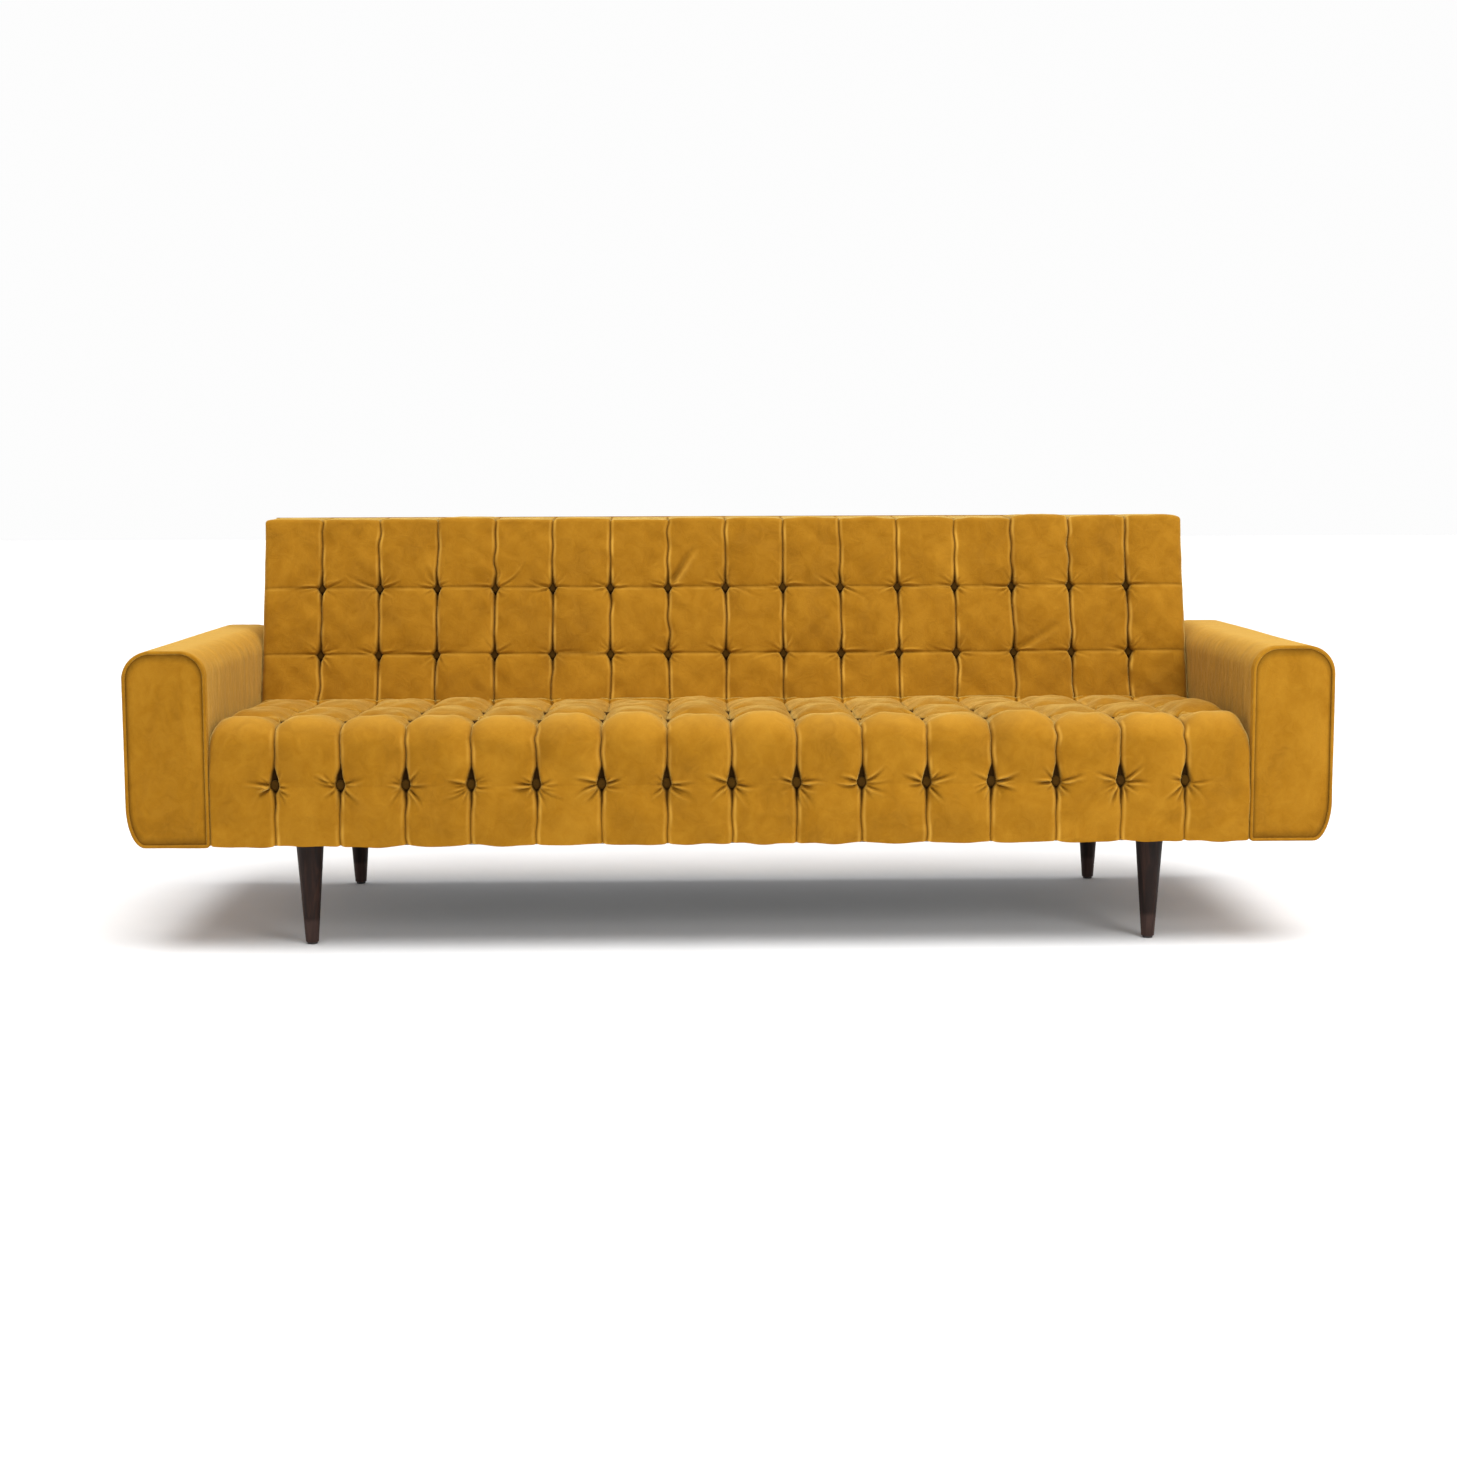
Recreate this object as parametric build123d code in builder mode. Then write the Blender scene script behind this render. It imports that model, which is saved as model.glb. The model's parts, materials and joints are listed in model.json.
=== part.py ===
from build123d import *
import os
from math import atan2, cos, radians, sin

# A long three-seat sofa on four turned wooden legs: a beech frame with sinuous
# springs, foam pads under a biscuit-tufted velvet cover, and two boxed arms.
# Millimetres. X runs across the sofa, Y from its front to its rear, and Z up.
# The origin is on the floor, under the middle. Right-hand pieces are on +X.

# --- Overall size ---------------------------------------------------------------
WIDTH = 2300
DEPTH = 800
BASE_Z = 204  # underside of the frame and of the arms
BACK_TOP = 816
FRONT = -DEPTH / 2
REAR = DEPTH / 2

# --- Arms -----------------------------------------------------------------------
ARM_WIDTH = 158
ARM_TOP = 580
ARM_FRONT = FRONT + 8
ARM_REAR = REAR - 4
ARM_INNER_RADIUS = 50
ARM_OUTER_RADIUS = 55
ARM_FOOT_RADIUS = 8
ARM_SWEEP = (35, 80)  # across and up, the long curve of the lower outer corner
PIPING_RADIUS = 3
PANEL_GAP = 0.8  # between the piping and the panel inside it
PANEL_PROUD = 5
ARM_BOARD = 18
ARM_WADDING = 8
SIDE_PANEL = 3
PADDING_GAP = 2  # under the arm, where its padding stops short
LEAST_RADIUS = 1

# --- Upholstery -----------------------------------------------------------------
SKIN = 2  # velvet with its backing
COLUMNS = 16  # tufts across the seat and across the back
BODY_HALF = WIDTH / 2 - ARM_WIDTH
TUFT_PITCH = 2 * BODY_HALF / COLUMNS
POCKET_MOUTH = 32
POCKET_BASE = 11
POCKET_DEPTH = 26
BUTTON_RADIUS = 10
BUTTON_HEIGHT = 8
BUTTON_DOME = 5
TWINE_RADIUS = 1
TWINE_HOLE_RADIUS = 1.4
KNOT_RADIUS = 6
KNOT_HEIGHT = 3
KNOT_DROP = 1.5  # of a seat knot below the hessian
TWINE_HOLE_LENGTH = 120

# --- Seat profile ---------------------------------------------------------------
APRON_Z = BASE_Z + 2
CREST_Z = 398
CREST_RADIUS = 55
CREST_Y = FRONT + CREST_RADIUS
SEAT_REAR_Z = 437
SEAT_FOOT_Y = 103
SEAT_GAP = 0.5  # between the seat's rear end and the face of the back
FRONT_BUTTON_Z = 322
SEAT_BUTTON_Y = (-270, -60)

# --- Back -----------------------------------------------------------------------
LEAN = radians(16)
FRAME_Y = 245  # a point of the back frame's front plane
FRAME_Z = 509
FACE = 80  # the velvet's distance in front of the frame
BACK_BUTTON_UP = (0, 146.6)
BACK_FOOT_UP = -215
BACK_EDGE_RADIUS = 14
WEBBING = 2
WEBBING_WIDTH = 50
HESSIAN = 1
HESSIAN_MARGIN = 6  # short of the rear edge of the spring rail
HARDBOARD = 3
REAR_FOOT = 378

# --- Timber ---------------------------------------------------------------------
TIMBER = 28
RAIL_TOP = 334
SIDE_RAIL_TOP = 300
FRONT_RAIL_Y = -360
REAR_RAIL_Y = REAR_FOOT - TIMBER
SIDE_RAIL_X = BODY_HALF - TIMBER
STRETCHER_TOP = 249
STRETCHER_X = (-2.5 * TUFT_PITCH, 0, 2.5 * TUFT_PITCH)
POST_X = (STRETCHER_X[0], STRETCHER_X[2])
SPRING_RAIL_Y = 150
POST_TOP = 770
TOP_RAIL_TOP = POST_TOP + TIMBER
POST_FOOT_Y = 185.1
LOWER_RAIL_UP = (-207, -145)
LOWER_RAIL_DEPTH = 22
TONGUE_Y = (232, 350)
TONGUE_FOOT_Z = 214
DOWEL_RADIUS = 5
DOWEL_PLAY = 0.1
LONG_DOWEL = 56
SHORT_DOWEL = 36
FRONT_DOWEL_Z = (232, 272)
FRONT_DOWEL_SHIFT = 10  # of its middle, from the joint into the side rail
REAR_DOWEL_Z = (228, 276)
TOP_DOWEL_Y = (343, 375)

# --- Springs --------------------------------------------------------------------
SPRING_WIRE = 4
SPRING_BARS = 22
SPRING_BEND = 11.9
SPRING_HALF_WIDTH = 25
SPRING_FRONT_Y = FRONT_RAIL_Y + TIMBER / 2
SPRING_REAR_Y = SPRING_RAIL_Y + TIMBER / 2
WIRE_PLAY = 0.05
CLIP_RADIUS = 3.2
CLIP_TAIL = 12
CLIP_SHEET = 1.2
CLIP_HALF = 10
TIE_WIRE = 2.4
TIE_Y = (-195, -45)
TIE_GAP = 0.2
HESSIAN_LIFT = 3.3  # from the centre of the spring wire to the hessian
FOAM_LIFT = 0.3  # from the hessian to the foam that lies on it

# --- Legs -----------------------------------------------------------------------
LEG_X = 818
LEG_Y = (-300, 356)
LEG_TOP_RADIUS = 27
LEG_FOOT_RADIUS = 12.5
LEG_EASE = 2
GLIDE_HEIGHT = 4
GLIDE_RADIUS = 10
GLIDE_EDGE = 1
NAIL_RADIUS = 1.5
NAIL_TOP = 22
NAIL_PLAY = (0.1, 1)  # round it and above it
DUST_COVER = 1
LEG_TOP = BASE_Z - DUST_COVER
BLOCK_WIDTH = 110
BLOCK_HEIGHT = 40
BLOCK_FRONT_Y = (FRONT_RAIL_Y + TIMBER, -256)
BLOCK_REAR_Y = (306, REAR_FOOT)
BOLT_RADIUS = 3.95
BOLT_HOLE_RADIUS = 4.2
HANGER_Z = (168, 250)
HANGER_SPACE = 10  # above it, in the rear rail's notches
TEE_BARREL_RADIUS = 5
TEE_FLANGE_RADIUS = 11
TEE_FLANGE = 1.5
TEE_DEPTH = 12
TEE_PLAY = (0.1, 1)  # round the barrel and below it
THREAD_PLAY = 0.05

# --- Bolts across the frame -------------------------------------------------------
ARM_BOLT_Y = (-280, -40, 200)
ARM_BOLT_Z = 262
BACK_BOLT_Y = (258, 324)
BACK_BOLT_Z = 257
HEAD_RADIUS = 9.5
HEAD_HEIGHT = 4
HEAD_EDGE = 3
HEAD_PLAY = 1
FLANGE_RADIUS = 10
FLANGE = 1.6
NUT_BORE = 4
NUT_RADIUS = 7.5
NUT_HEIGHT = 6.5
BOLT_TAIL = 4

UPWARD = (Align.CENTER, Align.CENTER, Align.MIN)
DOWNWARD = (Align.CENTER, Align.CENTER, Align.MAX)

os.makedirs("parts", exist_ok=True)


# --- Helpers --------------------------------------------------------------------
def finish(piece, label):
    """Label a finished piece and write it to a STEP file of the same name."""
    piece.part.label = label
    export_step(piece.part, f"parts/{label}.step")


def finish_pair(piece, label):
    """Write a right-hand piece, and its mirror image on the left."""
    finish(piece, f"{label}_right")
    with BuildPart() as twin:
        mirror(piece.part, about=Plane.YZ)
    finish(twin, f"{label}_left")


def bar(x, y, z, mode=Mode.ADD):
    """A square-edged member, from its start and end along each axis."""
    with Locations(((x[0] + x[1]) / 2, (y[0] + y[1]) / 2, (z[0] + z[1]) / 2)):
        Box(x[1] - x[0], y[1] - y[0], z[1] - z[0], mode=mode)


def on_back(up, out=0):
    """(y, z) of a point so far up the back's slope and in front of its frame."""
    y = FRAME_Y + up * sin(LEAN) - out * cos(LEAN)
    z = FRAME_Z + up * cos(LEAN) + out * sin(LEAN)
    return y, z


def back_at(z, out=0):
    """(y, z) at a height on the plane that lies so far in front of the frame."""
    return on_back((z - FRAME_Z - out * sin(LEAN)) / cos(LEAN), out)


def rear_y(z):
    """The rear face of the frame, which leans a little."""
    share = (z - BASE_Z) / (BACK_TOP - BASE_Z)
    return REAR_FOOT + share * (REAR - HARDBOARD - SKIN - REAR_FOOT)


def spring_z(y):
    """The height of the spring wires' centre line over a point of the seat."""
    share = (y - SPRING_FRONT_Y) / (SPRING_REAR_Y - SPRING_FRONT_Y)
    return RAIL_TOP + CLIP_RADIUS + share * (SIDE_RAIL_TOP - RAIL_TOP)


def seat_top_z(y):
    """The height of the seat's tufts, which falls towards the back."""
    rear_top = back_at(SEAT_REAR_Z, FACE + SEAT_GAP)
    share = (y - CREST_Y) / (rear_top[0] - CREST_Y)
    return CREST_Z + CREST_RADIUS + share * (SEAT_REAR_Z - CREST_Z - CREST_RADIUS)


def sloped(y, z, angle):
    """A plane across the sofa whose Y axis rises at an angle, facing up."""
    return Plane(origin=(0, y, z), x_dir=(1, 0, 0), z_dir=(0, -sin(angle), cos(angle)))


def across(x):
    """A plane square to X, whose own X and Y are the sofa's Y and Z."""
    return Plane.YZ.offset(x)


def facing_right(points):
    """Planes square to X at points given as (x, y, z)."""
    return [Plane(origin=point, x_dir=(0, 1, 0), z_dir=(1, 0, 0)) for point in points]


def slab(points, half_width):
    """A prism right across the sofa from a side outline of (y, z) points."""
    with BuildSketch(Plane.YZ) as outline:
        with BuildLine():
            Polyline(*points, close=True)
        make_face()
    extrude(outline.sketch, amount=half_width, both=True)


# --- Outlines -------------------------------------------------------------------
def seat_outline(skin):
    """Side outline of the upholstered seat, set in by a skin on its shown sides."""
    rear_top = back_at(SEAT_REAR_Z - skin, FACE + SEAT_GAP + skin)
    lift = HESSIAN_LIFT + HESSIAN + FOAM_LIFT
    rear_foot = back_at(spring_z(SEAT_FOOT_Y) + lift, FACE + SEAT_GAP + skin)
    front_foot = (FRONT_RAIL_Y, spring_z(FRONT_RAIL_Y) + lift)
    radius = CREST_RADIUS - skin
    with BuildSketch() as outline:
        with BuildLine():
            crest = CenterArc((CREST_Y, CREST_Z), radius, 90, 90)
            Polyline(
                crest @ 1,
                (FRONT + skin, APRON_Z),
                (FRONT_RAIL_Y, APRON_Z),
                front_foot,
                rear_foot,
                rear_top,
                crest @ 0,
            )
        make_face()
    return outline.sketch


def back_outline(skin):
    """Side outline of the whole back, set in by a skin on its face and its top."""
    foot = on_back(BACK_FOOT_UP, FACE - skin)
    top_front = back_at(BACK_TOP - skin, FACE - skin)
    with BuildSketch() as outline:
        with BuildLine():
            Polyline(
                foot,
                top_front,
                (rear_y(BACK_TOP), BACK_TOP - skin),
                (rear_y(foot[1]), foot[1]),
                close=True,
            )
        make_face()
        top_edge = outline.vertices().sort_by_distance(top_front)[0]
        fillet(top_edge, BACK_EDGE_RADIUS - skin)
    return outline.sketch


def arm_outline(inset):
    """Front outline of the right arm, set in from its outer skin."""
    left, right = BODY_HALF + inset, WIDTH / 2 - inset
    low, high = BASE_Z + inset, ARM_TOP - inset
    inner = ARM_INNER_RADIUS - inset
    outer = ARM_OUTER_RADIUS - inset
    foot = max(ARM_FOOT_RADIUS - inset, LEAST_RADIUS)
    sweep_x, sweep_z = ARM_SWEEP[0] - inset, ARM_SWEEP[1] - inset
    with BuildSketch() as outline:
        with BuildLine():
            corners = [
                CenterArc((right - outer, high - outer), outer, 0, 90),
                CenterArc((left + inner, high - inner), inner, 90, 90),
                CenterArc((left + foot, low + foot), foot, 180, 90),
                EllipticalCenterArc((right - sweep_x, low + sweep_z), sweep_x, sweep_z, 270, arc_size=90),
            ]
            for this, following in zip(corners, corners[1:] + corners[:1]):
                Line(this @ 1, following @ 0)
        make_face()
    return outline.sketch


# --- Button rows ------------------------------------------------------------------
seat_slope = atan2(seat_top_z(1) - seat_top_z(0), 1)
front_row = [Plane(origin=(0, FRONT, FRONT_BUTTON_Z), x_dir=(1, 0, 0), z_dir=(0, -1, 0))]
seat_rows = [sloped(y, seat_top_z(y), seat_slope) for y in SEAT_BUTTON_Y]
back_rows = [
    Plane(origin=(0, *on_back(up, FACE)), x_dir=(1, 0, 0), z_dir=(0, -cos(LEAN), sin(LEAN)))
    for up in BACK_BUTTON_UP
]

with BuildPart() as pocket:
    Cone(POCKET_BASE, POCKET_MOUTH, POCKET_DEPTH, align=DOWNWARD)

with BuildPart() as foam_pocket:
    Cone(POCKET_BASE + SKIN, POCKET_MOUTH + SKIN, POCKET_DEPTH + SKIN, align=DOWNWARD)

with BuildPart() as button:
    Cylinder(BUTTON_RADIUS, BUTTON_HEIGHT, align=UPWARD)
    fillet(button.faces().sort_by(Axis.Z)[-1].edges(), BUTTON_DOME)


def along_rows(piece, rows, mode=Mode.ADD, sink=0):
    """Repeat a piece at each button of some rows, sunk below their surface."""
    with Locations(*[row.offset(-sink) for row in rows]):
        with GridLocations(TUFT_PITCH, 1, COLUMNS - 1, 1):
            add(piece.part, mode=mode)


def make_twine(length):
    """A length of tufting twine under a button, with its knot washer at the end."""
    with BuildPart() as twine:
        Cylinder(TWINE_RADIUS, length, align=DOWNWARD)
        with Locations((0, 0, -length)):
            Cylinder(KNOT_RADIUS, KNOT_HEIGHT, align=UPWARD)
    return twine


def seat_twine_length(y):
    """From a seat pocket's floor to the end of the knot below the hessian."""
    knot_top = spring_z(y) + HESSIAN_LIFT - KNOT_DROP
    return seat_top_z(y) - POCKET_DEPTH - knot_top + KNOT_HEIGHT


def make_twine_hole(length):
    """The passage of a twine, from a pocket's floor inwards."""
    with BuildPart() as hole:
        Cylinder(TWINE_HOLE_RADIUS, length, align=DOWNWARD)
    return hole


FRONT_TWINE = FRONT_RAIL_Y + TIMBER + KNOT_HEIGHT - FRONT - POCKET_DEPTH
BACK_TWINE = FACE - POCKET_DEPTH - WEBBING + KNOT_HEIGHT
twine_hole = make_twine_hole(TWINE_HOLE_LENGTH)
front_twine_hole = make_twine_hole(FRONT_TWINE - KNOT_HEIGHT)

# --- Seat upholstery --------------------------------------------------------------
with BuildPart() as seat_core:
    with BuildSketch(Plane.YZ):
        add(seat_outline(SKIN))
    extrude(amount=BODY_HALF - SKIN, both=True)
    along_rows(foam_pocket, front_row + seat_rows, Mode.SUBTRACT)

with BuildPart() as seat_foam:
    add(seat_core.part)
    along_rows(front_twine_hole, front_row, Mode.SUBTRACT, POCKET_DEPTH)
    along_rows(twine_hole, seat_rows, Mode.SUBTRACT, POCKET_DEPTH)
finish(seat_foam, "seat_foam")

with BuildPart() as seat_cover:
    with BuildSketch(Plane.YZ):
        add(seat_outline(0))
    extrude(amount=BODY_HALF, both=True)
    along_rows(pocket, front_row + seat_rows, Mode.SUBTRACT)
    add(seat_core.part, mode=Mode.SUBTRACT)
    along_rows(front_twine_hole, front_row, Mode.SUBTRACT, POCKET_DEPTH)
    along_rows(twine_hole, seat_rows, Mode.SUBTRACT, POCKET_DEPTH)
finish(seat_cover, "seat_cover")

# --- Back upholstery --------------------------------------------------------------
with BuildPart() as back_core:
    with BuildSketch(Plane.YZ):
        add(back_outline(SKIN))
    extrude(amount=BODY_HALF - SKIN, both=True)
    along_rows(foam_pocket, back_rows, Mode.SUBTRACT)

with BuildPart() as frame_space:
    hollow_foot = on_back(BACK_FOOT_UP - FACE, WEBBING + HESSIAN)
    slab(
        [
            hollow_foot,
            back_at(TOP_RAIL_TOP, WEBBING + HESSIAN),
            (REAR, TOP_RAIL_TOP),
            (REAR, hollow_foot[1]),
        ],
        BODY_HALF,
    )

with BuildPart() as back_foam:
    add(back_core.part)
    add(frame_space.part, mode=Mode.SUBTRACT)
    along_rows(twine_hole, back_rows, Mode.SUBTRACT, POCKET_DEPTH)
finish(back_foam, "back_foam")

with BuildPart() as back_cover:
    with BuildSketch(Plane.YZ):
        add(back_outline(0))
    extrude(amount=BODY_HALF, both=True)
    along_rows(pocket, back_rows, Mode.SUBTRACT)
    add(back_core.part, mode=Mode.SUBTRACT)
    along_rows(twine_hole, back_rows, Mode.SUBTRACT, POCKET_DEPTH)
finish(back_cover, "back_cover")

with BuildPart() as outside_back_panel:
    panel_z = (APRON_Z, TOP_RAIL_TOP)
    inner_face = [(rear_y(z), z) for z in panel_z]
    outer_face = [(rear_y(z) + HARDBOARD, z) for z in reversed(panel_z)]
    slab(inner_face + outer_face, BODY_HALF)
finish(outside_back_panel, "outside_back_panel")

with BuildPart() as outside_back_cover:
    cover_z = (APRON_Z, BACK_TOP)
    inner_face = [(rear_y(z) + HARDBOARD, z) for z in cover_z]
    outer_face = [(rear_y(z) + HARDBOARD + SKIN, z) for z in reversed(cover_z)]
    slab(inner_face + outer_face, BODY_HALF)
finish(outside_back_cover, "outside_back_cover")

# --- Buttons and twines -------------------------------------------------------------
for label, rows in (
    ("seat_front_buttons", front_row),
    ("seat_top_buttons", seat_rows),
    ("back_buttons", back_rows),
):
    with BuildPart() as buttons:
        along_rows(button, rows, sink=POCKET_DEPTH)
    finish(buttons, label)

with BuildPart() as tufting_twines:
    along_rows(make_twine(FRONT_TWINE), front_row, sink=POCKET_DEPTH)
    for y, row in zip(SEAT_BUTTON_Y, seat_rows):
        along_rows(make_twine(seat_twine_length(y)), [row], sink=POCKET_DEPTH)
    along_rows(make_twine(BACK_TWINE), back_rows, sink=POCKET_DEPTH)
finish(tufting_twines, "tufting_twines")

# --- Backing cloths ---------------------------------------------------------------
with BuildPart() as seat_hessian:
    cloth_y = (FRONT_RAIL_Y, SPRING_RAIL_Y + TIMBER - HESSIAN_MARGIN)
    under = [(y, spring_z(y) + HESSIAN_LIFT) for y in cloth_y]
    over = [(y, spring_z(y) + HESSIAN_LIFT + HESSIAN) for y in reversed(cloth_y)]
    slab(under + over, BODY_HALF - SKIN)
    along_rows(twine_hole, seat_rows, Mode.SUBTRACT, POCKET_DEPTH)
finish(seat_hessian, "seat_hessian")

with BuildPart() as back_hessian:
    foot_up = BACK_FOOT_UP + SKIN
    slab(
        [
            on_back(foot_up, WEBBING),
            back_at(TOP_RAIL_TOP, WEBBING),
            back_at(TOP_RAIL_TOP, WEBBING + HESSIAN),
            on_back(foot_up, WEBBING + HESSIAN),
        ],
        BODY_HALF - SKIN,
    )
    along_rows(twine_hole, back_rows, Mode.SUBTRACT, POCKET_DEPTH)
finish(back_hessian, "back_hessian")

with BuildPart() as webbing_strap:
    slab(
        [
            on_back(LOWER_RAIL_UP[0]),
            back_at(TOP_RAIL_TOP),
            back_at(TOP_RAIL_TOP, WEBBING),
            on_back(LOWER_RAIL_UP[0], WEBBING),
        ],
        WEBBING_WIDTH / 2,
    )

with BuildPart() as back_webbing:
    with GridLocations(TUFT_PITCH, 1, COLUMNS, 1):
        add(webbing_strap.part)
finish(back_webbing, "back_webbing")

with BuildPart() as dust_cover:
    bar(
        (-SIDE_RAIL_X - SKIN, SIDE_RAIL_X + SKIN),
        (FRONT_RAIL_Y, REAR_FOOT),
        (BASE_Z - DUST_COVER, BASE_Z),
    )
    with Locations(*[(x, y, BASE_Z) for x in (-LEG_X, LEG_X) for y in LEG_Y]):
        Cylinder(BOLT_HOLE_RADIUS, 4 * DUST_COVER, mode=Mode.SUBTRACT)
finish(dust_cover, "dust_cover")

# --- Dowels, and the holes they fill -------------------------------------------------
corner_x = SIDE_RAIL_X + TIMBER / 2
front_joint = [
    Plane(origin=(x, FRONT_RAIL_Y + TIMBER + FRONT_DOWEL_SHIFT, z), z_dir=(0, 1, 0))
    for x in (-corner_x, corner_x)
    for z in FRONT_DOWEL_Z
]
rear_joint = [
    Plane(origin=(x, REAR_RAIL_Y + TIMBER / 2, z), z_dir=(1, 0, 0))
    for x in (-SIDE_RAIL_X, SIDE_RAIL_X)
    for z in REAR_DOWEL_Z
]
end_post_x = SIDE_RAIL_X + (TIMBER - SKIN) / 2
top_joint = [
    Plane(origin=(x, y, POST_TOP))
    for x in (-end_post_x, *POST_X, end_post_x)
    for y in TOP_DOWEL_Y
]
DOWEL_JOINTS = ((front_joint, LONG_DOWEL), (rear_joint, SHORT_DOWEL), (top_joint, SHORT_DOWEL))


def dowels(mode=Mode.ADD, play=0):
    """Every dowel of the frame, or its hole when cut with a little play."""
    for joint, length in DOWEL_JOINTS:
        with Locations(*joint):
            Cylinder(DOWEL_RADIUS + play, length + 4 * play, mode=mode)


with BuildPart() as frame_dowels:
    dowels()
finish(frame_dowels, "frame_dowels")

# --- Seat frame -------------------------------------------------------------------
leg_blocks_x = [(x - BLOCK_WIDTH / 2, x + BLOCK_WIDTH / 2) for x in (-LEG_X, LEG_X)]

with BuildPart() as front_rail:
    bar(
        (-BODY_HALF, BODY_HALF),
        (FRONT_RAIL_Y, FRONT_RAIL_Y + TIMBER),
        (BASE_Z, RAIL_TOP),
    )
    along_rows(front_twine_hole, front_row, Mode.SUBTRACT, POCKET_DEPTH)
    dowels(Mode.SUBTRACT, DOWEL_PLAY)
finish(front_rail, "front_rail")

with BuildPart() as rear_rail:
    bar((-SIDE_RAIL_X, SIDE_RAIL_X), (REAR_RAIL_Y, REAR_FOOT), (BASE_Z, RAIL_TOP))
    for block_x in leg_blocks_x:
        bar(
            block_x,
            (REAR_RAIL_Y, REAR_FOOT),
            (BASE_Z, HANGER_Z[1] + HANGER_SPACE),
            mode=Mode.SUBTRACT,
        )
    dowels(Mode.SUBTRACT, DOWEL_PLAY)
finish(rear_rail, "rear_rail")

arm_bolt_points = [(BODY_HALF, y, ARM_BOLT_Z) for y in ARM_BOLT_Y]
back_bolt_points = [(BODY_HALF, y, BACK_BOLT_Z) for y in BACK_BOLT_Y]


def arm_bolt_holes():
    """Clearance for the three bolts through the side of an arm."""
    with Locations(*facing_right(arm_bolt_points)):
        Cylinder(BOLT_HOLE_RADIUS, 4 * TIMBER, mode=Mode.SUBTRACT)


def back_bolt_holes():
    """Clearance for the bolts of the post's tongue, with sunk heads outside."""
    with Locations(*facing_right(back_bolt_points)):
        CounterBoreHole(BOLT_HOLE_RADIUS, HEAD_RADIUS + HEAD_PLAY, HEAD_HEIGHT + HEAD_PLAY, depth=2 * TIMBER)


with BuildPart() as side_rail:
    bar(
        (SIDE_RAIL_X, BODY_HALF),
        (FRONT_RAIL_Y + TIMBER, REAR_FOOT),
        (BASE_Z, SIDE_RAIL_TOP),
    )
    bar(
        (SIDE_RAIL_X, SIDE_RAIL_X + TIMBER / 2),
        TONGUE_Y,
        (TONGUE_FOOT_Z, SIDE_RAIL_TOP),
        mode=Mode.SUBTRACT,
    )
    dowels(Mode.SUBTRACT, DOWEL_PLAY)
    arm_bolt_holes()
    back_bolt_holes()
finish_pair(side_rail, "side_rail")

with BuildPart() as seat_stretchers:
    for x in STRETCHER_X:
        bar(
            (x - TIMBER / 2, x + TIMBER / 2),
            (FRONT_RAIL_Y + TIMBER, REAR_RAIL_Y),
            (BASE_Z, STRETCHER_TOP),
        )
finish(seat_stretchers, "seat_stretchers")

with BuildPart() as spring_rail:
    bar(
        (-SIDE_RAIL_X, SIDE_RAIL_X),
        (SPRING_RAIL_Y, SPRING_RAIL_Y + TIMBER),
        (STRETCHER_TOP, SIDE_RAIL_TOP),
    )
finish(spring_rail, "spring_rail")

with BuildPart() as leg_blocks:
    for block_x in leg_blocks_x:
        for block_y in (BLOCK_FRONT_Y, BLOCK_REAR_Y):
            bar(block_x, block_y, (BASE_Z, BASE_Z + BLOCK_HEIGHT))
    with Locations(*[(x, y, BASE_Z + BLOCK_HEIGHT) for x in (-LEG_X, LEG_X) for y in LEG_Y]):
        CounterBoreHole(BOLT_HOLE_RADIUS, TEE_BARREL_RADIUS + TEE_PLAY[0], TEE_DEPTH + TEE_PLAY[1])
finish(leg_blocks, "leg_blocks")

# --- Back frame -------------------------------------------------------------------
with BuildPart() as back_post:
    with BuildSketch(across(SIDE_RAIL_X)):
        with BuildLine():
            Polyline(
                (POST_FOOT_Y, SIDE_RAIL_TOP),
                back_at(POST_TOP),
                (rear_y(POST_TOP), POST_TOP),
                (rear_y(SIDE_RAIL_TOP), SIDE_RAIL_TOP),
                close=True,
            )
        make_face()
    extrude(amount=TIMBER - SKIN)
    bar(
        (SIDE_RAIL_X, SIDE_RAIL_X + TIMBER / 2),
        TONGUE_Y,
        (TONGUE_FOOT_Z, SIDE_RAIL_TOP),
    )
    dowels(Mode.SUBTRACT, DOWEL_PLAY)
    back_bolt_holes()
finish_pair(back_post, "back_post")

with BuildPart() as back_lower_rail:
    slab(
        [
            on_back(LOWER_RAIL_UP[0]),
            on_back(LOWER_RAIL_UP[1]),
            on_back(LOWER_RAIL_UP[1], -LOWER_RAIL_DEPTH),
            on_back(LOWER_RAIL_UP[0], -LOWER_RAIL_DEPTH),
        ],
        SIDE_RAIL_X,
    )
finish(back_lower_rail, "back_lower_rail")

with BuildPart() as back_inner_posts:
    for x in POST_X:
        with BuildSketch(across(x)):
            with BuildLine():
                Polyline(
                    (POST_FOOT_Y, STRETCHER_TOP),
                    (POST_FOOT_Y, SIDE_RAIL_TOP),
                    back_at(POST_TOP),
                    (rear_y(POST_TOP), POST_TOP),
                    (rear_y(RAIL_TOP), RAIL_TOP),
                    (REAR_RAIL_Y, RAIL_TOP),
                    (REAR_RAIL_Y, STRETCHER_TOP),
                    close=True,
                )
            make_face()
        extrude(amount=TIMBER / 2, both=True)
    add(back_lower_rail.part, mode=Mode.SUBTRACT)
    dowels(Mode.SUBTRACT, DOWEL_PLAY)
finish(back_inner_posts, "back_inner_posts")

with BuildPart() as back_top_rail:
    slab(
        [
            back_at(POST_TOP),
            back_at(TOP_RAIL_TOP),
            (rear_y(TOP_RAIL_TOP), TOP_RAIL_TOP),
            (rear_y(POST_TOP), POST_TOP),
        ],
        BODY_HALF - SKIN,
    )
    dowels(Mode.SUBTRACT, DOWEL_PLAY)
finish(back_top_rail, "back_top_rail")

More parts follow.
